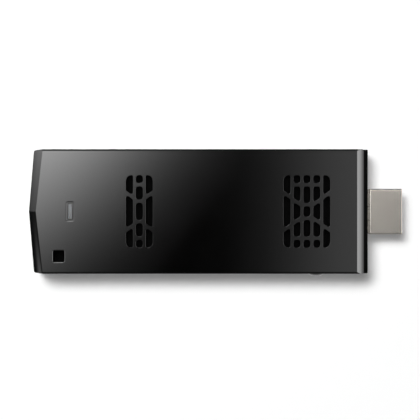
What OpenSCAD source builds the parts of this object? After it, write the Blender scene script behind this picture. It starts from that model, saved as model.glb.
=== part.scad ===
// Stick computer: a flat two-part casing with a video plug at one end.
// +X runs towards the plug, +Z is up, and the origin is the centre of the flat base.

/* [Body] */
// Length from the point of the tail to the face of the plug's end plate
body_l = 103.1; // [101:0.1:112]
// Width across the long sides
body_w = 37.8; // [37:0.2:44]
// Height from the base to the top face
body_h = 12.5; // [12.3:0.1:14]
// Thickness of the side walls
wall = 1.4; // [1.2:0.1:1.6]
// Thickness of the roof
roof = 1.5; // [1.2:0.1:1.7]
// Thickness of the floor
floor_t = 1.2; // [0.9:0.1:1.4]
// Height of the line where the two covers meet
split_z = 6.4; // [6:0.1:6.8]
// Width of the open line between the two covers
parting_gap = 0.1; // [0.05:0.05:0.2]
// Chamfer along the top long edges
top_edge = 0.5; // [0.2:0.1:0.6]
// Chamfer along the base's long edges
base_edge = 0.6; // [0.3:0.1:0.8]
// Radius of the upright corners
plan_corner = 0.6; // [0.3:0.1:1]

/* [Tail] */
// How far the point of the tail stands out beyond its corners
tail_rake = 1.48; // [1:0.02:2.2]
// How much narrower each side is at the tail's corners
tail_taper = 0.35; // [0.1:0.05:0.5]
// Length over which the sides narrow
tail_taper_l = 2.7; // [2:0.1:3.5]
// The same on the top face, inside the bevel
tail_top_rake = 2.12; // [1.6:0.02:2.6]
// Width of the tail's bevel at its point, seen from above
tail_run = 2.3; // [1.6:0.1:3]
// Depth of the tail's bevel at its point
tail_drop = 1.8; // [1.4:0.1:3.4]
// How far the tail's bevels bulge outwards
tail_bulge = 0.06; // [0.03:0.01:0.12]
// Width of the tail's lower bevel
tail_base_run = 1.1; // [0.8:0.1:1.4]
// Depth of the tail's lower bevel
tail_base_drop = 1.6; // [1:0.1:2]

/* [Plug end] */
// Width of the bevel above the plug, seen from above
nose_run = 2.2; // [2:0.05:3]
// Depth of that bevel
nose_drop = 1.4; // [1.2:0.1:3]
// How far the bevel bulges outwards
nose_bulge = 0.15; // [0.1:0.05:0.4]
// Thickness of the end plate that shows
end_plate_t = 1.15; // [1:0.05:1.6]
// How far the end plate's rim stays inside the covers' outline
end_plate_inset = 0.05; // [0.05:0.05:0.3]
// Radius of the end plate's corners
end_plate_corner = 0.8; // [0.4:0.1:1.2]
// Wall of the end plate's collar round the plug
collar_wall = 0.6; // [0.5:0.05:0.65]

/* [Fits] */
// Clearance between still pieces
fit = 0.1; // [0.05:0.05:0.15]
// Clearance of a press fit
press_fit = 0.01; // [0.01:0.01:0.02]
// Depth of the upper cover's lip inside the lower cover
lip_h = 1.6; // [1.2:0.1:1.8]
// Length of each snap ridge on the lip
snap_l = 5; // [3:0.5:6]
// Height of each snap ridge
snap_h = 0.6; // [0.4:0.1:0.7]
// How far each snap ridge stands out
snap_out = 0.25; // [0.15:0.05:0.3]
// Distance of the first snap ridges from the tail
first_snap = 22; // [20:0.5:24]
// Distance of the second snap ridges from the tail
second_snap = 40; // [38:0.5:42]
// Distance of the last snap ridges from the plug end
last_snap = 22.5; // [20:0.5:24]

/* [Vents] */
// Length of both vents across the body
vent_l = 22; // [20:0.5:24]
// Width of one slot
slot_w = 2.2; // [1.9:0.02:2.4]
// Spacing of the slots
slot_pitch = 3; // [2.8:0.1:3.2]
// Width of the ribs across the slots
rib_w = 1; // [0.8:0.05:1.2]
// Height of the rib near each end of the inner slots
end_rib_y = 8.1; // [7.6:0.1:8.6]
// Height of the sloping rib in the outer slots
slope_rib_y = 5; // [4.6:0.1:5.4]
// Slope of those ribs
rib_slope = 36; // [30:1:40]
// Height of the rib in the inlet's middle slot
inlet_mid_y = 2.07; // [1.8:0.1:2.6]
// Height of the rib in the outlet's middle slot
outlet_mid_y = 3.1; // [2.6:0.1:3.6]
// Radius of each vent's outer corners
vent_corner = 1.7; // [1:0.1:1.8]
// Radius of the slots' corners at a level edge
slot_corner = 0.85; // [0.2:0.05:0.9]
// Radius of the slots' corners at a sloping rib
slope_corner = 0.55; // [0.2:0.05:0.6]
// Distance of the inlet's centre from the plug end
inlet_from_end = 18.6; // [18:0.05:20]
// Distance of the outlet's centre from the tail
outlet_from_tail = 33.7; // [32:0.05:35]
// Number of slots in the inlet
inlet_slots = 5; // [5:2:7]
// Number of slots in the outlet
outlet_slots = 3; // [3:2:5]
// Thickness of the dust screens behind the vents
screen_t = 0.2; // [0.1:0.05:0.3]
// How far each dust screen laps the roof round its vent
screen_lap = 1; // [0.6:0.1:1.4]

/* [Status window] */
// Distance of the window from the tail
window_from_tail = 12.7; // [12.4:0.05:13.6]
// Width of the light pipe's face
window_w = 1.15; // [0.8:0.05:1.4]
// Length of the light pipe's face
window_l = 4.65; // [4:0.05:5]
// Width of the sunk border round it
window_border = 0.38; // [0.2:0.02:0.5]
// Depth of the sunk border
window_depth = 0.2; // [0.2:0.05:0.5]
// Thickness of the light pipe's flange under the roof
pipe_flange_t = 0.7; // [0.5:0.1:1]
// How far that flange reaches past the pipe's face
pipe_flange = 0.6; // [0.4:0.1:0.8]
// Clearance between the light pipe and the board
pipe_clear = 1; // [0.9:0.1:1.4]
// Width of the status lamp
lamp_w = 1.6; // [1.2:0.1:2]
// Length of the status lamp's base
lamp_l = 3.2; // [2.8:0.1:3.6]
// Thickness of the status lamp's base
lamp_base_t = 0.4; // [0.3:0.05:0.5]
// Length of the status lamp's lens
lens_l = 2.2; // [1.8:0.1:2.6]
// Height of the status lamp with its lens
lamp_h = 0.7; // [0.6:0.05:0.8]

/* [Lanyard eye] */
// Side of the square hole
eye = 3.4; // [3.2:0.1:4]
// Distance of its centre from the tail
eye_from_tail = 9.2; // [9:0.05:10]
// Distance of its centre from the long side
eye_from_side = 5.3; // [5:0.05:6]
// Thickness of the bar that the lanyard loops round
eye_bar = 1.7; // [1.5:0.1:2.2]
// Wall of the passage
eye_wall = 1; // [0.8:0.1:1.1]
// Radius of the hole's corners
eye_corner = 0.4; // [0.2:0.1:0.8]

/* [Board] */
// Thickness of the board
board_t = 0.8; // [0.6:0.1:1]
// Clearance between the board's edge and the walls
board_gap = 0.4; // [0.3:0.05:0.6]
// Radius of the bosses below the board
boss_r = 1.7; // [1.5:0.1:1.8]
// Radius of the board screws' threads
screw_r = 0.8; // [0.7:0.05:0.85]
// Radius of the board screws' heads
screw_head_r = 1.5; // [1.3:0.05:1.6]
// Height of the board screws' heads
screw_head_h = 0.7; // [0.5:0.1:0.9]

/* [Video plug] */
// Width of the plug's shell
plug_w = 13.9; // [13.7:0.05:14]
// Height of the plug's shell
plug_h = 4.45; // [4.4:0.05:4.5]
// Size of the shell's cut lower corners
plug_cut = 1.75; // [1.4:0.05:2]
// Radius of the shell's corners
plug_round = 0.5; // [0.35:0.05:0.7]
// How far the plug stands out of the end plate
plug_out = 10.85; // [10:0.05:11.5]
// Length of the narrower neck that shows
neck_l = 0.9; // [0.5:0.1:1.2]
// How much the neck is set in on each side
neck_step = 0.15; // [0.1:0.05:0.2]
// Thickness of the neck's sheet
plug_sheet = 0.22; // [0.15:0.01:0.26]
// Length of the plug inside the casing
plug_in = 11; // [10:0.1:12]
// How far the contact block stays back from the mouth
core_back = 0.9; // [0.6:0.1:1.4]
// Width of the contact block's slot
core_slot_w = 11.3; // [11:0.1:11.6]
// Height of that slot
core_slot_h = 1.8; // [1.6:0.1:1.9]
// Depth of that slot
core_slot_d = 7.6; // [6:0.2:8.4]
// Spacing of the contacts in one row
contact_pitch = 1; // [0.95:0.01:1.05]
// Width of one contact
contact_w = 0.42; // [0.3:0.02:0.46]
// Thickness of one contact
contact_t = 0.2; // [0.15:0.01:0.24]
// Distance between the two rows' legs on the board
leg_step = 0.8; // [0.6:0.05:0.9]
// Contacts in the upper row
upper_contacts = 10; // [9:1:10]
// Contacts in the lower row
lower_contacts = 9; // [8:1:9]

/* [Host socket] */
// Distance of the socket's centre from the plug end
host_from_end = 48; // [47.6:0.1:49]
// Width of the socket's shell
host_w = 13.1; // [12.9:0.05:13.4]
// Height of the socket's shell
host_h = 5.72; // [5.6:0.02:5.9]
// Depth of the socket
host_d = 13.8; // [13.2:0.1:14.4]
// Thickness of the shell's sheet
host_sheet = 0.3; // [0.25:0.01:0.35]
// Length of the block behind the tongue
host_block = 3.4; // [2.8:0.1:4]
// Width of the tongue
host_tongue_w = 11.1; // [10.8:0.1:11.3]
// Thickness of the tongue
host_tongue_t = 1.84; // [1.7:0.02:1.9]
// Height of the tongue above the socket's centre
host_tongue_up = 0.9; // [0.6:0.05:1.1]
// How far the tongue stays back from the mouth
host_tongue_back = 1.3; // [1:0.1:2]
// How far the sockets' mouths stay back from the side
port_back = 0.3; // [0.2:0.05:0.5]
// Distance of the host socket's outer contacts from its middle
host_contact_outer = 3.5; // [3.4:0.05:3.6]
// Distance of the host socket's inner contacts from its middle
host_contact_inner = 1; // [0.95:0.05:1.05]
// Width of one host contact
host_contact_w = 1; // [0.8:0.05:1.2]
// Clearance round each socket in the side
port_gap = 0.25; // [0.15:0.05:0.35]

/* [Power socket] */
// Distance of the socket's centre from the plug end
feed_from_end = 31.5; // [31:0.1:32.4]
// Width of the socket's shell
feed_w = 7.5; // [7.3:0.05:7.8]
// Height of the socket's shell
feed_h = 2.6; // [2.5:0.02:2.8]
// Depth of the socket
feed_d = 5.4; // [5:0.1:6]
// Size of the shell's cut lower corners
feed_cut = 0.9; // [0.7:0.05:1]
// Thickness of the shell's sheet
feed_sheet = 0.25; // [0.2:0.01:0.3]
// Length of the block behind the tongue
feed_block = 1.4; // [1.2:0.1:1.8]
// Width of the tongue
feed_tongue_w = 4; // [3.6:0.1:4.2]
// Thickness of the tongue
feed_tongue_t = 0.6; // [0.5:0.05:0.7]
// Height of the tongue above the socket's centre
feed_tongue_up = 0.35; // [0.2:0.05:0.4]
// How far the tongue stays back from the mouth
feed_tongue_back = 0.8; // [0.5:0.1:1.2]
// Spacing of the power socket's contacts
feed_pitch = 0.65; // [0.63:0.01:0.67]
// Width of one power contact
feed_contact_w = 0.35; // [0.25:0.01:0.4]
// Thickness of one power contact
feed_contact_t = 0.12; // [0.1:0.01:0.15]
// How far the power contacts stand out behind the socket
feed_leg = 0.5; // [0.4:0.05:0.7]

/* [Card slot] */
// Distance of the slot's centre from the plug end
card_from_end = 58.5; // [58:0.1:60]
// Width of the slot's frame
card_frame_w = 14; // [13.4:0.1:14.6]
// Depth of the slot's frame
card_frame_d = 14.5; // [14:0.1:15]
// Width of the card's way
card_w = 11.4; // [11.2:0.1:11.8]
// Height of the card's way
card_h = 0.9; // [0.8:0.05:1]
// Thickness of the frame's plate
card_plate = 0.35; // [0.3:0.01:0.4]
// Thickness of the frame's metal cover
card_sheet = 0.2; // [0.15:0.01:0.24]
// Length of the stop behind the card
card_stop = 1.2; // [1:0.1:1.6]
// Radius of the finger scoop outside the slot
scoop_r = 6; // [5:0.5:7]
// Depth of the finger scoop
scoop_d = 0.5; // [0.3:0.05:0.6]

/* [Power button] */
// Distance of the button's centre from the plug end
button_from_end = 15.35; // [15.2:0.05:16]
// Radius of the button
button_r = 2.5; // [2.2:0.1:2.7]
// How far the button's crown stands out
button_out = 0.87; // [0.4:0.01:1]
// Clearance of the button in its hole
button_gap = 0.12; // [0.08:0.01:0.2]
// Travel of the button
button_travel = 0.4; // [0.2:0.05:0.5]
// Width of the button's inner flange
flange_w = 6.6; // [6.2:0.1:7]
// Height of the button's inner flange
flange_h = 3.6; // [3:0.1:3.8]
// Thickness of the button's inner flange
flange_t = 0.6; // [0.5:0.05:0.8]
// Length of the stem behind the flange
stem_l = 0.6; // [0.4:0.05:0.8]
// Radius of the switch's plunger
plunger_r = 0.9; // [0.7:0.05:1.1]
// Length of the plunger inside the switch
plunger_in = 1; // [0.8:0.1:1.3]
// Clearance of the plunger in the switch
plunger_gap = 0.06; // [0.04:0.01:0.1]
// How far the pressed plunger still stands out of the switch
plunger_spare = 0.35; // [0.25:0.05:0.5]
// Width of the switch
switch_w = 4.5; // [4:0.1:5]
// Depth of the switch
switch_d = 3.4; // [3.2:0.1:4]
// Height of the switch
switch_h = 4; // [3.6:0.1:4.4]

/* [Cooling] */
// Distance of the heat spreader's end from the tail
spreader_from_tail = 22.1; // [21.6:0.1:23]
// Thickness of the heat spreader
spreader_t = 1; // [0.8:0.1:1.2]
// Radius of the spreader's screw ears
ear_r = 1.9; // [1.7:0.1:2]
// Radius of the posts below the fan
post_r = 1.2; // [1:0.1:1.5]
// Number of fins below the outlet
fin_count = 9; // [6:1:11]
// Thickness of one fin
fin_t = 0.5; // [0.4:0.05:0.7]
// Length of the fins
fin_l = 18; // [14:0.5:19]
// Clearance between the fins and the roof
fin_gap = 0.9; // [0.5:0.1:1.4]
// Side of the fan's square housing
fan_w = 20; // [19:0.2:20.2]
// Distance of the fan's centre from the middle of the body
fan_y = 2.5; // [2:0.1:3]
// Clearance between the fan and the roof
fan_gap = 0.7; // [0.6:0.05:0.9]
// Radius of the housing's bowl
bowl_r = 8.9; // [8.6:0.1:9]
// Thickness of the housing's base
fan_base_t = 0.4; // [0.3:0.05:0.5]
// Thickness of the fan's lid
fan_lid_t = 0.35; // [0.3:0.05:0.45]
// Radius of the hole in the lid
fan_mouth_r = 6.6; // [6:0.1:7]
// Running clearance above and below the rotor
rotor_gap = 0.2; // [0.15:0.01:0.25]
// Radius at the blades' tips
blade_r = 8.2; // [7.6:0.1:8.3]
// Number of blades
blades = 13; // [9:2:17]
// Thickness of one blade
blade_t = 0.5; // [0.4:0.05:0.6]
// Radius of the hub
hub_r = 4.1; // [3.9:0.1:4.4]
// Thickness of the hub's wall
hub_wall = 0.6; // [0.5:0.05:0.65]
// Thickness of the hub's disc
hub_disc = 0.4; // [0.3:0.05:0.5]
// Thickness of the magnet ring
magnet_t = 0.45; // [0.35:0.05:0.5]
// Radius of the fan's shaft
shaft_r = 0.5; // [0.4:0.05:0.6]
// Running clearance of the shaft in its sleeve
shaft_gap = 0.03; // [0.02:0.01:0.05]
// Outer radius of the sleeve
sleeve_r = 1.2; // [1.1:0.05:1.3]
// Radius at the coil poles' faces
pole_r = 2.75; // [2.6:0.05:2.8]
// Radius of the fan screws
fan_screw_r = 0.5; // [0.4:0.05:0.6]
// Distance of the fan screws from the housing's sides
fan_screw_in = 1.6; // [1.4:0.05:1.8]
// Height of the fan screws' heads
fan_screw_head = 0.35; // [0.25:0.05:0.4]
// Width of the fan lead's socket
socket_w = 3.6; // [3.2:0.1:4]
// Depth of the fan lead's socket
socket_d = 2.7; // [2.4:0.1:3]
// Height of the fan lead's socket
socket_h = 1.5; // [1.3:0.1:1.7]
// Width of the fan's flat lead
lead_w = 2.4; // [2:0.1:2.8]
// Thickness of the fan's flat lead
lead_t = 0.5; // [0.4:0.05:0.6]
// How far the lead runs out of the housing before it turns down
lead_out = 1.4; // [1.3:0.1:1.8]
// Height of the lead's way out above the housing's base
lead_up = 0.8; // [0.6:0.1:1]
// How far the lead runs on to its socket
lead_on = 1.3; // [1.2:0.1:1.6]

/* [Chips] */
// Clearance between neighbouring chips
chip_gap = 1.5; // [1.2:0.1:1.6]
// Side of the processor
processor_w = 15; // [14:0.1:15.4]
// Height of the processor
processor_h = 1.2; // [1:0.05:1.4]
// Thickness of the pad between processor and spreader
pad_t = 0.7; // [0.5:0.05:0.8]
// How far the pad stays inside the processor's edge
pad_inset = 0.5; // [0.3:0.1:1]
// Distance of the processor from the host socket's middle
processor_shift = 2; // [1:0.1:2.4]
// Distance of the memory chips' middle from the middle of the body
memory_y = 3; // [2.6:0.1:3.4]
// Width of one memory chip
memory_w = 8; // [7.6:0.1:8.4]
// Depth of one memory chip
memory_d = 9; // [8.6:0.1:9.2]
// Height of one memory chip
memory_h = 1; // [0.8:0.05:1.1]
// Width of the storage chip
storage_w = 11.5; // [11:0.1:11.8]
// Depth of the storage chip
storage_d = 13; // [12.4:0.1:13.4]
// Width of the radio module
radio_w = 10; // [9.6:0.1:10.4]
// Depth of the radio module
radio_d = 12; // [11.6:0.1:12.2]
// Height of the radio module
radio_h = 1.6; // [1.3:0.05:1.8]
// Side of one power coil
coil_w = 4; // [3.6:0.1:4.2]
// Height of one power coil
coil_h = 1.8; // [1.4:0.1:2]
// Side of the power controller
controller_w = 5; // [4.6:0.1:5.2]
// Height of the power controller
controller_h = 0.9; // [0.7:0.05:1]
// Width of the firmware chip
firmware_w = 4; // [3.8:0.1:4.4]
// Depth of the firmware chip
firmware_d = 5; // [4.6:0.1:5.4]
// Height of the firmware chip
firmware_h = 1.4; // [1.2:0.05:1.5]
// Width of the clock crystal
crystal_w = 2.5; // [2:0.1:2.8]
// Depth of the clock crystal
crystal_d = 3.2; // [2.8:0.1:3.6]
// Height of the clock crystal
crystal_h = 0.8; // [0.6:0.05:1]
// Width of one antenna
antenna_w = 2; // [1.6:0.1:2.2]
// Length of one antenna
antenna_l = 8; // [6:0.5:9]
// Height of one antenna
antenna_h = 1.1; // [0.8:0.1:1.4]
// Width of one small capacitor
capacitor_w = 0.8; // [0.6:0.1:1]
// Depth of one small capacitor
capacitor_d = 1.6; // [1.2:0.1:1.8]
// Spacing of the small capacitors
capacitor_pitch = 2.6; // [2.2:0.1:2.8]
// Number of small capacitors
capacitors_n = 7; // [4:1:7]

/* [Hidden] */
$fn = 48;
cut = 1;
sink = 0.3;
half_w = body_w / 2;
inner_y = half_w - wall;
tail_x = -body_l / 2;
nose_x = body_l / 2;
cover_x = nose_x - end_plate_t;
roof_z = body_h - roof;
lip_inset = wall / 2 + fit;
snap_x = [tail_x + first_snap, tail_x + second_snap, nose_x - last_snap];
inlet_x = nose_x - inlet_from_end;
outlet_x = tail_x + outlet_from_tail;
window_x = tail_x + window_from_tail;
eye_x = tail_x + eye_from_tail;
eye_y = eye_from_side - half_w;
eye_base_z = split_z + parting_gap;
eye_floor_z = eye_base_z + eye_wall;
plug_z = body_h / 2;
neck_w = plug_w - 2 * neck_step;
neck_h = plug_h - 2 * neck_step;
neck_cut = plug_cut - neck_step * (2 - sqrt(2));
neck_x = nose_x + neck_l;
plug_tip = nose_x + plug_out;
plug_rear = nose_x - plug_in;
core_tip = plug_tip - core_back;
slot_rear = core_tip - core_slot_d;
tail_room = 2 * leg_step + 9 * fit;
board_top = plug_z - neck_h / 2;
board_base = board_top - board_t;
board_x0 = tail_x + tail_rake + wall + board_gap;
board_x1 = cover_x - wall - board_gap;
board_half_w = inner_y - board_gap;
host_x = nose_x - host_from_end;
host_front = port_back - half_w;
host_rear = host_front + host_d;
host_z = board_top + host_h / 2;
host_contact_x = [-host_contact_outer, -host_contact_inner, host_contact_inner, host_contact_outer];
host_contact_z = host_tongue_up - host_tongue_t / 2 - contact_t;
feed_x = nose_x - feed_from_end;
feed_front = port_back - half_w;
feed_rear = feed_front + feed_d;
feed_z = board_top + feed_h / 2;
feed_contact_x = [for (i = [-2 : 2]) i * feed_pitch];
feed_contact_z = feed_tongue_up - feed_tongue_t / 2 - feed_contact_t;
card_x = nose_x - card_from_end;
card_front = inner_y - fit;
card_z = board_base - card_plate - card_h / 2;
button_x = nose_x - button_from_end;
flange_y = -inner_y + fit;
stem_end = flange_y + flange_t + stem_l;
plunger_y = stem_end + fit;
plunger_out = button_travel + plunger_spare;
switch_y = plunger_y + plunger_out;
spreader_z = board_top + processor_h + pad_t;
spreader_top = spreader_z + spreader_t;
spreader_x1 = plug_rear - tail_room;
spreader_x0 = tail_x + spreader_from_tail;
spreader_l = spreader_x1 - spreader_x0;
spreader_y0 = host_rear + leg_step + 2 * fit;
ear_y = board_half_w - ear_r;
spreader_y1 = ear_y - screw_head_r;
fan_x = spreader_x1 - fan_w / 2 - board_gap;
fan_clear_x = fan_x - fan_w / 2 - screw_head_r - chip_gap / 2;
ears = [
    [fan_clear_x, ear_y],
    [spreader_x0 + ear_r, ear_y],
    [spreader_x0 + ear_r, spreader_y0 - screw_head_r],
    [fan_clear_x, spreader_y0 - 2 * ear_r]
];
fan_h = roof_z - fan_gap - spreader_top;
fan_lid_z = spreader_top + fan_h - fan_lid_t;
rotor_z = spreader_top + fan_base_t + rotor_gap;
rotor_top = fan_lid_z - rotor_gap;
disc_z = rotor_top - hub_disc;
fan_screw_at = fan_w / 2 - fan_screw_in;
lead_y = fan_y - fan_w / 2;
lead_drop_y = lead_y - lead_out;
lead_z = spreader_top + fan_base_t + lead_up;
socket_y = lead_drop_y - lead_on;
chip_dot_r = 0.4;
chip_dot_d = 0.08;
processor_x = host_x + processor_shift;
processor_y = host_rear + chip_gap + processor_w / 2;
memory_x = processor_x - processor_w / 2 - memory_w / 2 - chip_gap;
storage_x = memory_x - memory_w / 2 - storage_w / 2 - chip_gap;
radio_x = board_x0 + antenna_w + chip_gap + radio_w / 2;
radio_y = window_l / 2 + board_gap + radio_d / 2;
crystal_x = window_x + window_w + crystal_w / 2 + board_gap;
firmware_x = window_x + window_w + firmware_w / 2;
firmware_y = -crystal_d / 2 - chip_gap / 2 - firmware_d / 2;
coil_y = host_rear - chip_gap - coil_w - controller_h;
coil_x = [for (i = [0 : 2]) memory_x + memory_w / 2 - coil_w / 2 - i * (coil_w + chip_gap)];
controller_x = coil_x[2] - coil_w / 2 - controller_w / 2 - chip_gap;
capacitor_y = coil_y - coil_w / 2 - capacitor_d / 2 - chip_gap;

SHOWN = ["top_cover", "bottom_cover", "plug_end_plate", "light_pipe", "power_button"];
SCREENS = ["inlet_screen", "outlet_screen"];
PLUG = ["plug_shell", "plug_core", "plug_contacts"];
HOST = ["host_socket_shell", "host_socket_tongue", "host_socket_contacts"];
FEED = ["power_socket_shell", "power_socket_tongue", "power_socket_contacts"];
CARD = ["card_slot_frame", "card_slot_cover", "card_slot_contacts"];
SWITCH = ["switch_body", "switch_plunger", "main_board", "status_lamp"];
COOLING = ["heat_spreader", "thermal_pad", "fan_housing", "fan_lid", "fan_rotor", "fan_magnet"];
MOTOR = ["fan_shaft", "fan_sleeve", "fan_coil", "fan_lead", "fan_socket"];
CHIPS = ["processor", "storage_chip", "radio_module", "power_controller", "firmware_chip"];
SMALL = ["clock_crystal", "capacitors"];
REPEATS = [["board_screw_", 4], ["memory_chip_", 4], ["power_coil_", 3], ["fan_screw_", 2], ["antenna_", 2]];
REPEATED = [for (r = REPEATS) each [for (i = [1 : r[1]]) str(r[0], i)]];

// Outlines

function unit(v) = v / norm(v);

function box(w, h) = [[-w, -h] / 2, [w, -h] / 2, [w, h] / 2, [-w, h] / 2];

function same(n, r) = [for (i = [1 : n]) r];

// One rounded corner at b, between the points before and after it
function fillet(a, b, c, r, steps) =
    let (u = unit(a - b))
    let (v = unit(c - b))
    let (half = acos(u * v) / 2)
    let (centre = b + unit(u + v) * r / sin(half))
    let (first = b + u * r / tan(half) - centre)
    let (start = atan2(first.y, first.x))
    [for (k = [0 : steps]) let (t = start + k * (180 - 2 * half) / steps) centre + r * [cos(t), sin(t)]];

// A convex outline, given anticlockwise, with a radius for each corner
function rounded(p, radii, steps = 3) =
    let (n = len(p))
    [for (i = [0 : n - 1]) each fillet(p[(i + n - 1) % n], p[i], p[(i + 1) % n], radii[i], steps)];

// A flat arc from p to q that bulges to the left of the way from p to q
function bulged(p, q, sag, steps = 8) =
    let (along = unit(q - p))
    let (out = [-along.y, along.x])
    let (half_chord = norm(q - p) / 2)
    let (r = (half_chord * half_chord + sag * sag) / (2 * sag))
    let (turn = asin(half_chord / r))
    let (centre = (p + q) / 2 - out * (r - sag))
    [for (k = [0 : steps])
        let (t = turn * (2 * k / steps - 1))
        centre + r * (out * cos(t) + along * sin(t))];

// The casing from above, with all its walls moved in
function plan(inset) =
    let (slope = tail_rake / half_w)
    let (tip = tail_x + inset * sqrt(1 + slope * slope))
    let (half = half_w - inset)
    let (narrow = half - tail_taper)
    let (corner = tip + narrow * slope)
    let (full = corner + tail_taper_l)
    let (end = cover_x - inset)
    [[tip, 0], [corner, -narrow], [full, -half], [end, -half], [end, half], [full, half], [corner, narrow]];

// The casing's cross-section, with its long edges chamfered
function section() =
    let (low = half_w - base_edge)
    let (high = half_w - top_edge)
    let (left = [[-high, body_h], [-half_w, body_h - top_edge], [-half_w, base_edge], [-low, 0]])
    concat(left, [[low, 0], [half_w, base_edge], [half_w, body_h - top_edge], [high, body_h]]);

// A connector shell's outline with its two lower corners cut off
function shell_points(w, h, c) =
    let (x = w / 2)
    let (y = h / 2)
    [[c - x, -y], [x - c, -y], [x, c - y], [x, y], [-x, y], [-x, c - y]];

function shell_outline(w, h, c, r) = rounded(shell_points(w, h, c), same(6, r));

// How much a cut corner shrinks when the outline is set in
function set_in(c, d) = c - d * (2 - sqrt(2));

// A flat outline pushed out along X, with its own x going along Y
module along_x(x0, x1) {
    translate([x0, 0, 0]) rotate([90, 0, 90]) linear_extrude(x1 - x0) children();
}

// A flat outline pushed out along Y, with its own x going along X
module along_y(y0, y1) {
    translate([0, y1, 0]) rotate([90, 0, 0]) linear_extrude(y1 - y0) children();
}

module slab(w, d, h) {
    translate([-w / 2, -d / 2, 0]) cube([w, d, h]);
}

module round_box(w, h, r) {
    polygon(rounded(box(w, h), same(4, r)));
}

// Casing form

// The half space outside a bevel that starts at the origin and falls to the left
module bevel_wedge(run, drop, inset) {
    slant = norm([run, drop]);
    far = 5;
    translate([inset * drop / slant, -inset * run / slant, -body_w])
        linear_extrude(2 * body_w)
            polygon([[-run, -drop] * far, [run, drop] * far, [-run, drop] * far]);
}

module tail_bevels() {
    yaw = atan2(tail_top_rake, half_w);
    foot = [-tail_run * cos(yaw), -tail_drop];
    arc = bulged(foot, [0, 0], tail_bulge);
    below = arc[0] + unit(arc[0] - arc[1]) * tail_run;
    beyond = [[0, tail_drop], [below.x, tail_drop]];
    for (side = [-1, 1])
        translate([tail_x + tail_run, 0, body_h])
            rotate([90, 0, side * yaw])
                translate([0, 0, -body_w])
                    linear_extrude(2 * body_w) polygon(concat([below], arc, beyond));
}

module tail_inner_bevels(inset) {
    yaw = atan2(tail_top_rake, half_w);
    for (side = [-1, 1])
        translate([tail_x + tail_run, 0, body_h])
            rotate([90, 0, side * yaw])
                bevel_wedge(tail_run * cos(yaw), tail_drop, inset);
}

module tail_base_bevels() {
    yaw = atan2(tail_top_rake, half_w);
    for (side = [-1, 1])
        translate([tail_x + tail_base_run, 0, 0])
            rotate([-90, 0, side * yaw])
                bevel_wedge(tail_base_run * cos(yaw), tail_base_drop, 0);
}

module nose_bevel() {
    top = [cover_x - nose_run, body_h];
    foot = [cover_x, body_h - nose_drop];
    beyond = [[cover_x + cut, foot.y], [cover_x + cut, body_h + cut], [top.x, body_h + cut]];
    along_y(-body_w, body_w) polygon(concat(bulged(top, foot, nose_bulge), beyond));
}

module nose_inner_bevel(inset) {
    translate([cover_x - nose_run, 0, body_h])
        rotate([90, 0, 180])
            bevel_wedge(nose_run, nose_drop, inset);
}

module outer_form() {
    difference() {
        intersection() {
            linear_extrude(body_h) polygon(rounded(plan(0), same(7, plan_corner)));
            along_x(tail_x - cut, nose_x + cut) polygon(section());
        }
        tail_bevels();
        tail_base_bevels();
        nose_bevel();
    }
}

module inner_form(inset, z0, z1) {
    difference() {
        translate([0, 0, z0]) linear_extrude(z1 - z0) polygon(plan(inset));
        tail_inner_bevels(inset);
        nose_inner_bevel(inset);
    }
}

module band(z0, z1) {
    translate([0, 0, z0]) slab(2 * body_l, 2 * body_w, z1 - z0);
}

module snaps(out, extra) {
    y = half_w - lip_inset + out / 2 - sink / 2;
    z = split_z - lip_h / 2 - snap_h / 2 - extra;
    for (side = [-1, 1], x = snap_x)
        translate([x, side * y, z])
            slab(snap_l + 2 * extra, out + sink, snap_h + 2 * extra);
}

// Vent slots

// A rib as its heights at both sides of its slot and half its height
function sloping_rib(a, b, outer) =
    let (half = rib_w / 2 / cos(rib_slope))
    let (rise = tan(rib_slope))
    [slope_rib_y + (abs(a) - outer) * rise, slope_rib_y + (abs(b) - outer) * rise, half];

function level_rib(y, w) = [y, y, w / 2];

function edge_corner(rib) = rib[0] == rib[1] ? slot_corner : slope_corner;

function slot_ribs(x, outer, mid_y) =
    let (slope = sloping_rib(x - slot_w / 2, x + slot_w / 2, outer))
    let (end = level_rib(end_rib_y, rib_w))
    abs(x) > outer - slot_pitch / 2 ? [slope]
        : abs(x) < slot_pitch / 2 ? [end, level_rib(mid_y, rib_w)] : [end, slope];

module slot(x, outer, mid_y) {
    a = x - slot_w / 2;
    b = x + slot_w / 2;
    upper = concat([[vent_l / 2, vent_l / 2, 0]], slot_ribs(x, outer, mid_y));
    lower = [for (i = [len(upper) - 1 : -1 : 0]) [-upper[i][0], -upper[i][1], upper[i][2]]];
    ribs = concat(upper, lower);
    last = len(ribs) - 2;
    wide_r = min(vent_corner, slot_w - slope_corner - fit / 4);
    near_r = abs(x) > outer - slot_pitch / 2 ? slope_corner : slot_corner;
    left_r = x < slot_pitch / 2 - outer ? wide_r : near_r;
    right_r = x > outer - slot_pitch / 2 ? wide_r : near_r;
    for (i = [0 : last]) {
        high = ribs[i];
        low = ribs[i + 1];
        lower_edge = [[a, low[0] + low[2]], [b, low[1] + low[2]]];
        upper_edge = [[b, high[1] - high[2]], [a, high[0] - high[2]]];
        foot = i == last ? [left_r, right_r] : same(2, edge_corner(low));
        head = i == 0 ? [right_r, left_r] : same(2, edge_corner(high));
        polygon(rounded(concat(lower_edge, upper_edge), concat(foot, head)));
    }
}

module vent(x, count, mid_y) {
    outer = (count - 1) / 2 * slot_pitch;
    for (i = [0 : count - 1])
        translate([x, 0, roof_z - cut])
            linear_extrude(roof + 2 * cut)
                slot(i * slot_pitch - outer, outer, mid_y);
}

// Openings

module window_opening() {
    border = 2 * window_border;
    translate([window_x, 0, roof_z - cut])
        linear_extrude(roof + cut)
            round_box(window_w + 2 * fit, window_l + 2 * fit, window_border);
    translate([window_x, 0, body_h - window_depth])
        linear_extrude(cut)
            round_box(window_w + 2 * fit + border, window_l + 2 * fit + border, window_border);
}

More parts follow.
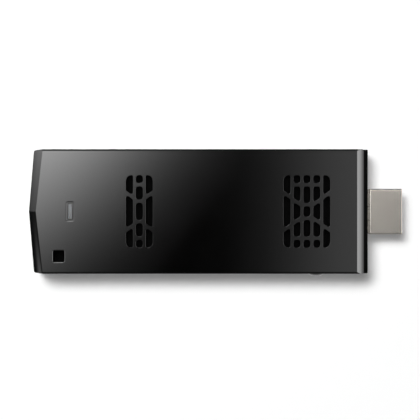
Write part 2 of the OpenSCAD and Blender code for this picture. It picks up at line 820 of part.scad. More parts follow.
module eye_sleeve() {
    inside_y = eye_y + eye / 2 + eye_wall;
    outside_y = -half_w + wall / 2;
    translate([eye_x, (inside_y + outside_y) / 2, eye_base_z])
        slab(eye + 2 * eye_wall, inside_y - outside_y, roof_z + sink - eye_base_z);
}

module eye_passage() {
    side_l = half_w + cut + eye_y + eye / 2;
    translate([eye_x, eye_y, eye_floor_z])
        linear_extrude(body_h)
            round_box(eye, eye, eye_corner);
    translate([eye_x, eye_y + eye / 2 - side_l / 2, eye_floor_z])
        slab(eye, side_l, body_h - eye_bar - eye_floor_z);
}

module host_opening() {
    translate([host_x, 0, host_z])
        along_y(-half_w - cut, -inner_y + cut)
            round_box(host_w + 2 * port_gap, host_h + 2 * port_gap, port_gap + 2 * host_sheet);
}

module feed_opening() {
    w = feed_w + 2 * port_gap;
    h = feed_h + 2 * port_gap;
    translate([feed_x, 0, feed_z])
        along_y(-half_w - cut, -inner_y + cut)
            polygon(shell_outline(w, h, set_in(feed_cut, -port_gap), port_gap));
}

module card_opening() {
    w = card_w + 2 * port_gap;
    translate([card_x, 0, card_z])
        along_y(inner_y - cut, half_w + cut)
            round_box(w, card_h + 2 * fit, 2 * fit);
    translate([card_x, half_w + scoop_r - scoop_d, card_z - scoop_d])
        cylinder(r = scoop_r, h = card_h + 2 * scoop_d);
}

module button_opening() {
    translate([button_x, 0, plug_z])
        rotate([90, 0, 0])
            translate([0, 0, inner_y - cut])
                cylinder(r = button_r + button_gap, h = wall + 2 * cut);
}

module collar_opening() {
    room = 2 * (2 * fit + collar_wall);
    translate([0, 0, plug_z])
        along_x(cover_x - wall - cut, cover_x + cut)
            round_box(neck_w + room, neck_h + room, collar_wall);
}

module side_openings() {
    host_opening();
    feed_opening();
    button_opening();
    collar_opening();
}

// Casing

module top_cover() {
    color("#1c1c1d")
        difference() {
            union() {
                difference() {
                    union() {
                        intersection() {
                            outer_form();
                            band(eye_base_z, body_h + cut);
                        }
                        inner_form(lip_inset, split_z - lip_h, eye_base_z + sink);
                        snaps(snap_out, 0);
                    }
                    inner_form(wall, 0, roof_z);
                }
                eye_sleeve();
            }
            vent(inlet_x, inlet_slots, inlet_mid_y);
            vent(outlet_x, outlet_slots, outlet_mid_y);
            window_opening();
            eye_passage();
            side_openings();
        }
}

// A sheet of dust screen, bonded to the roof behind a vent
module vent_screen(x, count) {
    w = (count - 1) * slot_pitch + slot_w + 2 * screen_lap;
    translate([x, 0, roof_z - screen_t])
        linear_extrude(screen_t)
            round_box(w, vent_l + 2 * screen_lap, vent_corner);
}

module inlet_screen() {
    color("#0a0a0b") vent_screen(inlet_x, inlet_slots);
}

module outlet_screen() {
    color("#0a0a0b") vent_screen(outlet_x, outlet_slots);
}

module bottom_cover() {
    color("#181819")
        difference() {
            union() {
                difference() {
                    intersection() {
                        outer_form();
                        band(-cut, split_z);
                    }
                    inner_form(wall, floor_t, body_h);
                    inner_form(wall / 2, split_z - lip_h - fit, body_h);
                    snaps(snap_out + 2 * fit, fit);
                }
                for (p = ears)
                    translate([p.x, p.y, floor_t - sink])
                        cylinder(r = boss_r, h = board_base - floor_t + sink);
            }
            for (p = ears)
                translate([p.x, p.y, floor_t]) cylinder(r = screw_r + press_fit, h = body_h);
            side_openings();
            card_opening();
        }
}

module plug_end_plate() {
    low = base_edge / 2;
    high = body_h - nose_drop - end_plate_inset;
    room = 2 * (fit + collar_wall);
    color("#0c0c0d")
        difference() {
            union() {
                translate([0, 0, (low + high) / 2])
                    along_x(cover_x, nose_x)
                        round_box(body_w - 2 * end_plate_inset, high - low, end_plate_corner);
                translate([0, 0, plug_z])
                    along_x(cover_x - wall, cover_x + sink)
                        round_box(neck_w + room, neck_h + room, collar_wall);
            }
            translate([0, 0, plug_z])
                along_x(cover_x - wall - cut, nose_x + cut)
                    polygon(shell_outline(neck_w + 2 * fit, neck_h + 2 * fit, neck_cut, plug_round));
        }
}

module light_pipe() {
    foot_z = board_top + pipe_clear;
    flange = 2 * pipe_flange;
    color("#b9bcbf")
        union() {
            translate([window_x, 0, foot_z])
                linear_extrude(body_h - window_depth - foot_z)
                    round_box(window_w, window_l, window_border - fit);
            translate([window_x, 0, roof_z - pipe_flange_t])
                slab(window_w + flange, window_l + flange, pipe_flange_t);
        }
}

module power_button() {
    crown_r = (button_r * button_r + button_out * button_out) / (2 * button_out);
    color("#1b1b1c")
        translate([button_x, flange_y, plug_z])
            rotate([90, 0, 0])
                union() {
                    intersection() {
                        translate([0, 0, -sink]) cylinder(r = button_r, h = wall + fit + button_out + sink);
                        translate([0, 0, wall + fit + button_out - crown_r]) sphere(r = crown_r);
                    }
                    translate([0, 0, -flange_t]) slab(flange_w, flange_h, flange_t);
                    translate([0, 0, -flange_t - stem_l]) cylinder(r = plunger_r, h = stem_l + sink);
                }
}

// Board and its screws

module main_board() {
    notch_w = 2 * (button_r + board_gap);
    notch_d = fit + button_travel + board_gap;
    color("#1f3d2b")
        difference() {
            translate([board_x0, -board_half_w, board_base])
                cube([board_x1 - board_x0, 2 * board_half_w, board_t]);
            for (p = ears)
                translate([p.x, p.y, board_base - cut]) cylinder(r = screw_r + fit, h = board_t + 2 * cut);
            translate([button_x, -board_half_w, board_base - cut])
                slab(notch_w, 2 * notch_d, board_t + 2 * cut);
        }
}

module board_screw(i) {
    drive_w = 0.35;
    drive_d = 0.35;
    color("#b5b5b2")
        translate([ears[i - 1].x, ears[i - 1].y, 0])
            difference() {
                union() {
                    translate([0, 0, floor_t + sink]) cylinder(r = screw_r, h = spreader_top - floor_t);
                    translate([0, 0, spreader_top]) cylinder(r = screw_head_r, h = screw_head_h);
                }
                translate([0, 0, spreader_top + screw_head_h - drive_d]) slab(2 * screw_r, drive_w, cut);
                translate([0, 0, spreader_top + screw_head_h - drive_d]) slab(drive_w, 2 * screw_r, cut);
            }
}

// Video plug

module plug_shell() {
    hollow_w = neck_w - 2 * plug_sheet;
    hollow_h = neck_h - 2 * plug_sheet;
    color("#b4b1ac")
        translate([0, 0, plug_z])
            difference() {
                union() {
                    along_x(plug_rear, neck_x + sink)
                        polygon(shell_outline(neck_w, neck_h, neck_cut, plug_round));
                    along_x(neck_x, plug_tip)
                        polygon(shell_outline(plug_w, plug_h, plug_cut, plug_round));
                }
                along_x(plug_rear - cut, plug_tip + cut)
                    polygon(shell_outline(hollow_w, hollow_h, set_in(neck_cut, plug_sheet), plug_round / 2));
            }
}

// Where each contact of one row lies across the plug
function row_y(count) = [for (i = [0 : count - 1]) (i - (count - 1) / 2) * contact_pitch];

module contact_row(count, z, leg_x, gap) {
    for (y = row_y(count))
        translate([0, y, z])
            translate([leg_x, -contact_w / 2 - gap, -gap])
                cube([core_tip - sink - leg_x, contact_w + 2 * gap, contact_t + 2 * gap]);
}

module contact_legs(count, z, leg_x) {
    foot = board_top - plug_z;
    for (y = row_y(count))
        translate([leg_x, y - contact_w / 2, foot]) cube([contact_t, contact_w, z - foot + contact_t]);
}

module plug_rows(gap) {
    contact_row(upper_contacts, core_slot_h / 2 - contact_t, plug_rear - 2 * leg_step, gap);
    contact_row(lower_contacts, -core_slot_h / 2, plug_rear - leg_step, gap);
}

module plug_core() {
    w = neck_w - 2 * plug_sheet - 2 * press_fit;
    h = neck_h - 2 * plug_sheet - 2 * press_fit;
    color("#151516")
        translate([0, 0, plug_z])
            difference() {
                along_x(plug_rear, core_tip)
                    polygon(shell_outline(w, h, set_in(neck_cut, plug_sheet), plug_round / 2));
                along_x(slot_rear, core_tip + cut) round_box(core_slot_w, core_slot_h, contact_t);
                plug_rows(press_fit);
            }
}

module plug_contacts() {
    color("#c9a352")
        translate([0, 0, plug_z])
            union() {
                plug_rows(0);
                contact_legs(upper_contacts, core_slot_h / 2 - contact_t, plug_rear - 2 * leg_step);
                contact_legs(lower_contacts, -core_slot_h / 2, plug_rear - leg_step);
            }
}

// Host socket

module host_socket_shell() {
    color("#bdbbb7")
        translate([host_x, 0, host_z])
            difference() {
                along_y(host_front, host_rear) round_box(host_w, host_h, 2 * host_sheet);
                along_y(host_front - cut, host_rear + cut)
                    round_box(host_w - 2 * host_sheet, host_h - 2 * host_sheet, host_sheet);
            }
}

module host_strips(y0, gap) {
    size = [host_contact_w + 2 * gap, contact_t + 2 * gap];
    for (x = host_contact_x)
        translate([x, 0, host_contact_z + contact_t / 2])
            along_y(y0, host_rear + leg_step) square(size, center = true);
}

module host_socket_tongue() {
    room = 2 * (host_sheet + press_fit);
    color("#161617")
        translate([host_x, 0, host_z])
            difference() {
                union() {
                    along_y(host_rear - host_block, host_rear)
                        round_box(host_w - room, host_h - room, host_sheet);
                    translate([0, 0, host_tongue_up])
                        along_y(host_front + host_tongue_back, host_rear - host_block + sink)
                            round_box(host_tongue_w, host_tongue_t, contact_t);
                }
                host_strips(host_rear - host_block - sink, press_fit);
            }
}

module host_socket_contacts() {
    foot = board_top - host_z;
    color("#c9a352")
        translate([host_x, 0, host_z])
            union() {
                host_strips(host_front + host_tongue_back + sink, 0);
                for (x = host_contact_x)
                    translate([x - host_contact_w / 2, host_rear + leg_step - contact_t, foot])
                        cube([host_contact_w, contact_t, host_contact_z - foot + contact_t]);
            }
}

// Power socket

module power_socket_shell() {
    hollow_w = feed_w - 2 * feed_sheet;
    hollow_h = feed_h - 2 * feed_sheet;
    color("#bdbbb7")
        translate([feed_x, 0, feed_z])
            difference() {
                along_y(feed_front, feed_rear) polygon(shell_outline(feed_w, feed_h, feed_cut, feed_sheet));
                along_y(feed_front - cut, feed_rear + cut)
                    polygon(shell_outline(hollow_w, hollow_h, set_in(feed_cut, feed_sheet), feed_sheet / 2));
            }
}

module feed_strips(y0, gap) {
    size = [feed_contact_w + 2 * gap, feed_contact_t + 2 * gap];
    for (x = feed_contact_x)
        translate([x, 0, feed_contact_z + feed_contact_t / 2])
            along_y(y0, feed_rear + feed_leg) square(size, center = true);
}

module power_socket_tongue() {
    w = feed_w - 2 * (feed_sheet + press_fit);
    h = feed_h - 2 * (feed_sheet + press_fit);
    color("#161617")
        translate([feed_x, 0, feed_z])
            difference() {
                union() {
                    along_y(feed_rear - feed_block, feed_rear)
                        polygon(shell_outline(w, h, set_in(feed_cut, feed_sheet), feed_sheet / 2));
                    translate([0, 0, feed_tongue_up])
                        along_y(feed_front + feed_tongue_back, feed_rear - feed_block + sink)
                            round_box(feed_tongue_w, feed_tongue_t, feed_contact_t);
                }
                feed_strips(feed_rear - feed_block - sink, press_fit);
            }
}

module power_socket_contacts() {
    foot = board_top - feed_z;
    color("#c9a352")
        translate([feed_x, 0, feed_z])
            union() {
                feed_strips(feed_front + feed_tongue_back + sink, 0);
                for (x = feed_contact_x)
                    translate([x - feed_contact_w / 2, feed_rear + feed_leg - feed_contact_t, foot])
                        cube([feed_contact_w, feed_contact_t, feed_contact_z - foot + feed_contact_t]);
            }
}

// Card slot below the board

module card_slot_frame() {
    color("#1a1a1b")
        translate([card_x, card_front - card_frame_d / 2, board_base - card_plate - card_h])
            difference() {
                slab(card_frame_w, card_frame_d, card_plate + card_h);
                translate([0, card_stop, -cut]) slab(card_w, card_frame_d, card_h + cut);
            }
}

module card_slot_cover() {
    color("#bdbbb7")
        translate([card_x, card_front - card_frame_d / 2, board_base - card_plate - card_h - card_sheet])
            difference() {
                slab(card_frame_w, card_frame_d, card_sheet);
                translate([card_w / 4, card_stop, -cut]) slab(1, card_frame_d / 3, 3 * cut);
                translate([-card_w / 4, card_stop, -cut]) slab(1, card_frame_d / 3, 3 * cut);
            }
}

module card_slot_contacts() {
    pitch = 1.1;
    strip_w = 0.6;
    strip_l = 5.5;
    color("#c9a352")
        for (i = [0 : 7])
            translate([
                card_x + (i - 3.5) * pitch,
                card_front - card_frame_d + card_stop + strip_l / 2,
                board_base - card_plate - contact_t
            ])
                slab(strip_w, strip_l, contact_t);
}

// Switch and lamp

module switch_body() {
    depth = plunger_in + button_travel + sink;
    color("#2a2a2c")
        difference() {
            translate([button_x, switch_y + switch_d / 2, board_top]) slab(switch_w, switch_d, switch_h);
            translate([button_x, switch_y + depth, plug_z])
                rotate([90, 0, 0])
                    cylinder(r = plunger_r + plunger_gap, h = depth + cut);
        }
}

module switch_plunger() {
    color("#d8d4c8")
        translate([button_x, plunger_y + plunger_out + plunger_in, plug_z])
            rotate([90, 0, 0])
                cylinder(r = plunger_r, h = plunger_out + plunger_in);
}

module status_lamp() {
    color("#e6e2d0")
        translate([window_x, 0, board_top])
            union() {
                slab(lamp_w, lamp_l, lamp_base_t);
                slab(lamp_w, lens_l, lamp_h);
            }
}

// Cooling

module spreader_outline() {
    middle = [spreader_x0 + spreader_x1, spreader_y0 + spreader_y1] / 2;
    pad = fan_w + board_gap;
    translate(middle) square([spreader_l, spreader_y1 - spreader_y0], center = true);
    translate([fan_x, fan_y]) square([pad, pad], center = true);
    for (p = ears) {
        inner = p.y > 0 ? spreader_y1 - sink : spreader_y0 + sink;
        translate(p) circle(r = ear_r);
        translate([p.x, (p.y + inner) / 2]) square([1.6 * ear_r, abs(p.y - inner)], center = true);
    }
}

module heat_spreader() {
    fin_edge = 0.8;
    fin_x = spreader_x0 + ear_r + fin_edge + fin_l / 2;
    fin_y0 = spreader_y0 + fin_edge;
    fin_step = (spreader_y1 - spreader_y0 - 2 * fin_edge - fin_t) / (fin_count - 1);
    post_y = fan_w / 2 - 2 * post_r;
    color("#232325")
        difference() {
            union() {
                translate([0, 0, spreader_z]) linear_extrude(spreader_t) spreader_outline();
                for (i = [0 : fin_count - 1])
                    translate([fin_x, fin_y0 + fin_t / 2 + i * fin_step, spreader_top - sink])
                        slab(fin_l, fin_t, roof_z - fin_gap - spreader_top + sink);
                for (p = ears)
                    translate([p.x, p.y, board_top]) cylinder(r = boss_r, h = spreader_z - board_top + sink);
                for (side = [-1, 1])
                    translate([spreader_x1 - 2 * post_r, fan_y + side * post_y, board_top])
                        cylinder(r = post_r, h = spreader_z - board_top + sink);
            }
            for (p = ears)
                translate([p.x, p.y, board_top - cut]) cylinder(r = screw_r + fit, h = body_h);
            for (side = [-1, 1])
                translate([fan_x + side * fan_screw_at, fan_y + side * fan_screw_at, spreader_z - cut])
                    cylinder(r = fan_screw_r + press_fit, h = spreader_t + 2 * cut);
        }
}

module thermal_pad() {
    color("#8f9aa6")
        translate([processor_x, processor_y, board_top + processor_h])
            slab(processor_w - 2 * pad_inset, processor_w - 2 * pad_inset, pad_t);
}

module fan_screw_holes(z, h) {
    for (side = [-1, 1])
        translate([side * fan_screw_at, side * fan_screw_at, z]) cylinder(r = fan_screw_r + fit, h = h);
}

module fan_housing() {
    corner = 1.5;
    outlet_w = 12;
    color("#141415")
        translate([fan_x, fan_y, spreader_top])
            difference() {
                linear_extrude(fan_h - fan_lid_t) round_box(fan_w, fan_w, corner);
                translate([0, 0, fan_base_t]) cylinder(r = bowl_r, h = fan_h);
                translate([-fan_w / 2, 0, fan_base_t]) slab(fan_w, outlet_w, fan_h);
                translate([0, 0, -cut]) cylinder(r = sleeve_r + press_fit, h = fan_h);
                fan_screw_holes(-cut, fan_h + cut);
            }
}

module fan_lid() {
    corner = 1.5;
    color("#1a1a1c")
        translate([fan_x, fan_y, fan_lid_z])
            difference() {
                linear_extrude(fan_lid_t) round_box(fan_w, fan_w, corner);
                translate([0, 0, -cut]) cylinder(r = fan_mouth_r, h = fan_lid_t + 2 * cut);
                fan_screw_holes(-cut, fan_lid_t + 2 * cut);
            }
}

// One blade's middle line, leaning back along an arc from the hub to the tip
function blade_line(steps = 5) =
    let (lean = 34)
    let (root = hub_r - hub_wall / 2)
    [for (k = [0 : steps])
        let (r = root + (blade_r - root) * k / steps)
        let (t = lean * pow(k / steps, 1.3))
        r * [cos(t), sin(t)]];

// A strip of even thickness along a line
function strip(p, t) =
    let (n = len(p) - 1)
    let (way = [for (i = [0 : n]) unit(p[min(i + 1, n)] - p[max(i - 1, 0)])])
    let (off = [for (w = way) [-w.y, w.x] * t / 2])
    concat([for (i = [0 : n]) p[i] - off[i]], [for (i = [n : -1 : 0]) p[i] + off[i]]);

module fan_rotor() {
    rotor_h = rotor_top - rotor_z;
    blade_inset = 0.08;
    color("#19191a")
        translate([fan_x, fan_y, rotor_z])
            union() {
                difference() {
                    cylinder(r = hub_r, h = rotor_h);
                    translate([0, 0, -cut]) cylinder(r = hub_r - hub_wall, h = disc_z - rotor_z + cut);
                    cylinder(r = shaft_r + press_fit, h = rotor_h - hub_disc / 3);
                }
                for (i = [0 : blades - 1])
                    rotate([0, 0, i * 360 / blades])
                        translate([0, 0, blade_inset])
                            linear_extrude(rotor_h - 2 * blade_inset) polygon(strip(blade_line(), blade_t));
            }
}

module fan_magnet() {
    outer = hub_r - hub_wall - press_fit;
    color("#3a3a3d")
        translate([fan_x, fan_y, rotor_z])
            difference() {
                cylinder(r = outer, h = disc_z - rotor_z);
                translate([0, 0, -cut]) cylinder(r = outer - magnet_t, h = disc_z - rotor_z + 2 * cut);
            }
}

module fan_shaft() {
    color("#c2c2c0")
        translate([fan_x, fan_y, spreader_top + fit])
            cylinder(r = shaft_r, h = rotor_top - spreader_top - fit - hub_disc / 3);
}

module fan_sleeve() {
    color("#b08d4a")
        translate([fan_x, fan_y, spreader_top])
            difference() {
                cylinder(r = sleeve_r, h = disc_z - rotor_gap - spreader_top);
                translate([0, 0, -cut]) cylinder(r = shaft_r + shaft_gap, h = fan_h + cut);
            }
}

module fan_coil() {
    poles = 4;
    pole_w = 1.1;
    base_z = spreader_top + fan_base_t;
    color("#a8622e")
        translate([fan_x, fan_y, base_z])
            difference() {
                union() {
                    cylinder(r = sleeve_r + 0.5, h = disc_z - rotor_gap - base_z);
                    intersection() {
                        cylinder(r = pole_r, h = disc_z - rotor_gap - base_z);
                        for (i = [0 : poles / 2 - 1])
                            rotate([0, 0, 45 + i * 90]) slab(2 * pole_r + cut, pole_w, fan_h);
                    }
                }
                translate([0, 0, -cut]) cylinder(r = sleeve_r + press_fit, h = fan_h + cut);
            }
}

module fan_screw(i) {
    side = i == 1 ? 1 : -1;
    top = spreader_top + fan_h;
    color("#6f6f70")
        translate([fan_x + side * fan_screw_at, fan_y + side * fan_screw_at, spreader_z])
            union() {
                cylinder(r = fan_screw_r, h = top - spreader_z);
                translate([0, 0, top - spreader_z]) cylinder(r = 2 * fan_screw_r, h = fan_screw_head);
            }
}

// The flat lead leaves the housing level, turns down beside the spreader and runs into its socket
module fan_lead() {
    low_z = board_top + socket_h / 2;
    way = [[lead_y, lead_z], [lead_drop_y, lead_z], [lead_drop_y, low_z], [socket_y, low_z]];
    bend = 0.7;
    steps = 4;
    upper = fillet(way[0], way[1], way[2], bend, steps);
    lower = fillet(way[3], way[2], way[1], bend, steps);
    line = concat([way[0]], upper, [for (i = [steps : -1 : 0]) lower[i]], [way[3]]);
    color("#26262a")
        translate([fan_x, 0, 0])
            along_x(-lead_w / 2, lead_w / 2)
                polygon(strip(line, lead_t));
}

module fan_socket() {
    color("#e2ddcf")
        translate([fan_x, socket_y - socket_d / 2, board_top])
            slab(socket_w, socket_d, socket_h);
}

// Chips

// A flat chip with the shallow dot that marks its first corner
module chip(x, y, w, d, h) {
    translate([x, y, board_top])
        difference() {
            slab(w, d, h);
            translate([1 - w / 2, d / 2 - 1, h - chip_dot_d]) cylinder(r = chip_dot_r, h = cut);
        }
}

module processor() {
    color("#3b4148") chip(processor_x, processor_y, processor_w, processor_w, processor_h);
}

// Two memory chips lie on the board and two hang below it
module memory_chip(i) {
    upper = i < 3;
    x = upper ? memory_x : processor_x;
    y = memory_y + (i % 2 == 1 ? 1 : -1) * (memory_d + board_gap) / 2;
    drop = upper ? 0 : board_t + memory_h;
    color("#1e1f22") translate([0, 0, -drop]) chip(x, y, memory_w, memory_d, memory_h);
}

module storage_chip() {
    color("#1e1f22") chip(storage_x, processor_y, storage_w, storage_d, memory_h);
}

module radio_module() {
    rim = 0.6;
    color("#a9a9a6")
        translate([radio_x, radio_y, board_top])
            union() {
                slab(radio_w, radio_d, radio_h / 3);
                slab(radio_w - 2 * rim, radio_d - 2 * rim, radio_h);
            }
}

module power_controller() {
    color("#222326") chip(controller_x, coil_y, controller_w, controller_w, controller_h);
}

module firmware_chip() {
    color("#222326") chip(firmware_x, firmware_y, firmware_w, firmware_d, firmware_h);
}

module clock_crystal() {
    color("#c6c6c2")
        translate([crystal_x, 0, board_top])
            slab(crystal_w, crystal_d, crystal_h);
}

module capacitors() {
    color("#a58a66")
        for (i = [0 : capacitors_n - 1])
            translate([coil_x[2] - coil_w + i * capacitor_pitch, capacitor_y, board_top])
                slab(capacitor_w, capacitor_d, capacitor_w);
}

module power_coil(i) {
    core_r = coil_w / 2 - 0.4;
    color("#4a4a4c")
        translate([coil_x[i - 1], coil_y, board_top])
            difference() {
                slab(coil_w, coil_w, coil_h);
                translate([0, 0, coil_h - chip_dot_d]) cylinder(r = core_r, h = cut);
            }
}

module antenna(i) {
    side = i == 1 ? 1 : -1;
    color("#d9d4c4")
        translate([board_x0 + antenna_w / 2 + chip_gap / 2, side * (board_half_w - antenna_l), board_top])
            slab(antenna_w, antenna_l, antenna_h);
}

top_cover();
bottom_cover();
plug_end_plate();
light_pipe();
power_button();
inlet_screen();
outlet_screen();
plug_shell();
plug_core();
plug_contacts();
host_socket_shell();
host_socket_tongue();
host_socket_contacts();
power_socket_shell();
power_socket_tongue();
power_socket_contacts();
card_slot_frame();
card_slot_cover();
card_slot_contacts();
switch_body();
switch_plunger();
main_board();
status_lamp();
heat_spreader();
thermal_pad();
fan_housing();
fan_lid();
fan_rotor();
fan_magnet();
fan_shaft();
fan_sleeve();
fan_coil();
fan_lead();
fan_socket();
processor();
storage_chip();
radio_module();
power_controller();
firmware_chip();
clock_crystal();
capacitors();
for (i = [1 : 4]) board_screw(i);
for (i = [1 : 4]) memory_chip(i);
for (i = [1 : 3]) power_coil(i);
for (i = [1 : 2]) fan_screw(i);
for (i = [1 : 2]) antenna(i);
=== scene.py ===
import math

import bpy
import numpy as np
from mathutils.geometry import delaunay_2d_cdt
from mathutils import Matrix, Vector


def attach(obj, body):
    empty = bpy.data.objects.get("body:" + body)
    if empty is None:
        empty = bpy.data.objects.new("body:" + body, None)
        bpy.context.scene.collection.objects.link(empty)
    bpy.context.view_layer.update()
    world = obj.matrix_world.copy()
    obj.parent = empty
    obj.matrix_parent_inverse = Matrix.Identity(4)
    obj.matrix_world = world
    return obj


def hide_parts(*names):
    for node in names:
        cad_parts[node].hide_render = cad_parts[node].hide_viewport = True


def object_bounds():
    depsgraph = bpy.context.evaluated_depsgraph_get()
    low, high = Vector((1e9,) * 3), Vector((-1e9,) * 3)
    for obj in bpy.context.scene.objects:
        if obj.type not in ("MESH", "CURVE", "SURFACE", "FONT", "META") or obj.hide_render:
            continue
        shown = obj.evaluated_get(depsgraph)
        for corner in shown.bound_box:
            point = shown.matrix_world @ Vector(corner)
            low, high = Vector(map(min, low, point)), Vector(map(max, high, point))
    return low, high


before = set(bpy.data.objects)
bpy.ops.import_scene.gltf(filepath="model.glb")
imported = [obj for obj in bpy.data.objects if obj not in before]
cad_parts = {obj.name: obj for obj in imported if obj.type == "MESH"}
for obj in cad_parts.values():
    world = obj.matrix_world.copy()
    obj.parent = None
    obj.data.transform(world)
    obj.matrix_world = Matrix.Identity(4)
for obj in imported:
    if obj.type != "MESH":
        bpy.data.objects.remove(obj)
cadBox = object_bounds()
mm = 0.001
near = 0.01  # mm, how close to a plane a point lies that belongs to it
print("frame loaded:", len(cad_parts), "nodes")


# Small tools for colours, nodes and meshes

def linear(hexColour):  # sRGB hex to the linear colour that a socket takes
    channel = np.array([int(hexColour[i:i + 2], 16) for i in (1, 3, 5)]) / 255
    value = np.where(channel <= 0.04045, channel / 12.92, ((channel + 0.055) / 1.055) ** 2.4)
    return (*value.tolist(), 1.0)


def addNode(tree, kind, inputs=None, stops=None, **settings):
    node = tree.nodes.new(kind)
    for name, value in settings.items():
        setattr(node, name, value)
    for socket, value in (inputs or {}).items():
        if isinstance(value, bpy.types.NodeSocket):
            tree.links.new(value, node.inputs[socket])
        else:
            node.inputs[socket].default_value = value
    if stops:  # a colour ramp's two ends, as (place, hex colour)
        for element, (place, colour) in zip(node.color_ramp.elements, stops):
            element.position = place
            element.color = linear(colour)
    return node


def newMaterial(name, sockets):  # a material with its shader's constant sockets set
    material = bpy.data.materials.new(name)
    material.use_nodes = True
    shader = material.node_tree.nodes["Principled BSDF"]
    for socket, value in sockets.items():
        shader.inputs[socket].default_value = value
    return material, material.node_tree, shader


def facedMesh(name, points, faces, sharpAngle=30):  # points in mm, smooth but for edges sharper than the angle
    mesh = bpy.data.meshes.new(name)
    mesh.from_pydata((points * mm).tolist(), [], faces)
    mesh.shade_smooth()
    mesh.set_sharp_from_angle(angle=math.radians(sharpAngle))
    return mesh


def mergedNode(name):  # a node's loose triangles as shared points in mm and the point numbers of each triangle
    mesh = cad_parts[name].data
    points = np.empty(len(mesh.vertices) * 3, np.float32)
    mesh.vertices.foreach_get("co", points)
    corners = np.empty(len(mesh.loops), np.int32)
    mesh.loops.foreach_get("vertex_index", corners)
    points = points.reshape(-1, 3).astype(float) / mm
    first, shared = np.unique(np.round(points, 3), axis=0, return_index=True, return_inverse=True)[1:]
    faces = shared.reshape(-1)[corners].reshape(-1, 3)
    whole = (faces != np.roll(faces, 1, axis=1)).all(axis=1)
    return points[first], faces[whole]


def gridMesh(name, points, closedAlong=False):
    # points in mm is an array of rows x columns x 3: each row is one closed section, each column a line along the piece
    rows, columns = points.shape[:2]
    index = np.arange(rows * columns).reshape(rows, columns)
    here = index if closedAlong else index[:-1]
    there = np.roll(index, -1, axis=0) if closedAlong else index[1:]
    quads = np.stack([here, np.roll(here, -1, 1), np.roll(there, -1, 1), there], -1)
    return facedMesh(name, points.reshape(-1, 3), quads.reshape(-1, 4).tolist())


def addPiece(name, mesh, material, body, slotName, *replaced):
    piece = bpy.data.objects.new(name, mesh)
    bpy.context.scene.collection.objects.link(piece)
    mesh.materials.clear()
    mesh.materials.append(material)
    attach(piece, body)
    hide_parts(*replaced)
    flatten = piece.modifiers.new("flatFaces", "WEIGHTED_NORMAL")
    flatten.keep_sharp = True


# Moulded plastics, resins and rubbers: a fine grain in the surface and a broad, faint change of shade

def mouldedMaterial(name, look):
    material, tree, shader = newMaterial(name, look.get("sockets", {}))
    place = addNode(tree, "ShaderNodeTexCoord").outputs["Object"]
    grain = addNode(tree, "ShaderNodeTexNoise",
                    {"Vector": place, "Scale": 1 / (look["grain"] * mm), "Detail": 3.0, "Roughness": 0.6})
    patch = addNode(tree, "ShaderNodeTexNoise",
                    {"Vector": place, "Scale": 1 / (look["patch"] * mm), "Detail": 2.0})
    tint = addNode(tree, "ShaderNodeValToRGB", {"Fac": patch.outputs[0]},
                   stops=[(0.35, look["dark"]), (0.65, look["light"])])
    gloss = addNode(tree, "ShaderNodeMapRange",
                    {"Value": grain.outputs[0], "From Min": 0.3, "From Max": 0.7,
                     "To Min": look["smooth"], "To Max": look["rough"]})
    relief = addNode(tree, "ShaderNodeBump",
                     {"Height": grain.outputs[0], "Strength": look["relief"], "Distance": look["depth"] * mm})
    tree.links.new(tint.outputs["Color"], shader.inputs["Base Color"])
    tree.links.new(gloss.outputs["Result"], shader.inputs["Roughness"])
    tree.links.new(relief.outputs["Normal"], shader.inputs["Normal"])
    return material


# Rolled, drawn and plated metals: streaks along the way that the sheet or wire was drawn

def drawnMaterial(name, look):
    material, tree, shader = newMaterial(name, {"Metallic": look.get("metallic", 1.0), **look.get("sockets", {})})
    place = addNode(tree, "ShaderNodeTexCoord").outputs["Object"]
    stretch = [1 / (size * mm) for size in look["streak"]]
    along = addNode(tree, "ShaderNodeMapping", {"Vector": place, "Scale": stretch})
    streak = addNode(tree, "ShaderNodeTexNoise", {"Vector": along.outputs[0], "Scale": 1.0, "Detail": 4.0})
    patch = addNode(tree, "ShaderNodeTexNoise", {"Vector": place, "Scale": 1 / (look["patch"] * mm), "Detail": 2.0})
    tint = addNode(tree, "ShaderNodeValToRGB", {"Fac": patch.outputs[0]},
                   stops=[(0.3, look["dark"]), (0.7, look["light"])])
    gloss = addNode(tree, "ShaderNodeMapRange",
                    {"Value": streak.outputs[0], "From Min": 0.3, "From Max": 0.7,
                     "To Min": look["smooth"], "To Max": look["rough"]})
    relief = addNode(tree, "ShaderNodeBump",
                     {"Height": streak.outputs[0], "Strength": look["relief"], "Distance": look["depth"] * mm})
    tree.links.new(tint.outputs["Color"], shader.inputs["Base Color"])
    tree.links.new(gloss.outputs["Result"], shader.inputs["Roughness"])
    tree.links.new(relief.outputs["Normal"], shader.inputs["Normal"])
    return material


# Black ABS, moulded in a finely spark-eroded tool: satin, with one soft glow and deep blacks beside it
satinAbs = mouldedMaterial("satinBlackAbs", {
    "dark": "#010101", "light": "#030303", "smooth": 0.06, "rough": 0.08,
    "grain": 0.3, "patch": 9, "relief": 0.03, "depth": 0.01,  # real grain is 0.05 mm, drawn coarser to show
    "sockets": {"IOR": 1.5}})

# The same ABS on vent walls, the eye's pocket and other deep faces: dull, and darker with weaker reflection as painted
# shade in these recesses
dullAbsPaintedShade = mouldedMaterial("dullBlackAbsPaintedShade", {
    "dark": "#000000", "light": "#010101", "smooth": 0.55, "rough": 0.7,
    "grain": 0.2, "patch": 4, "relief": 0.1, "depth": 0.01,
    "sockets": {"IOR": 1.5, "Specular IOR Level": 0.04}})

# Black polycarbonate from an etched tool: the end plate's rim is the deepest black on the part
etchedPolycarbonate = mouldedMaterial("etchedBlackPolycarbonate", {
    "dark": "#010101", "light": "#020202", "smooth": 0.45, "rough": 0.6,
    "grain": 0.25, "patch": 5, "relief": 0.06, "depth": 0.01,
    "sockets": {"IOR": 1.58, "Specular IOR Level": 0.012}})

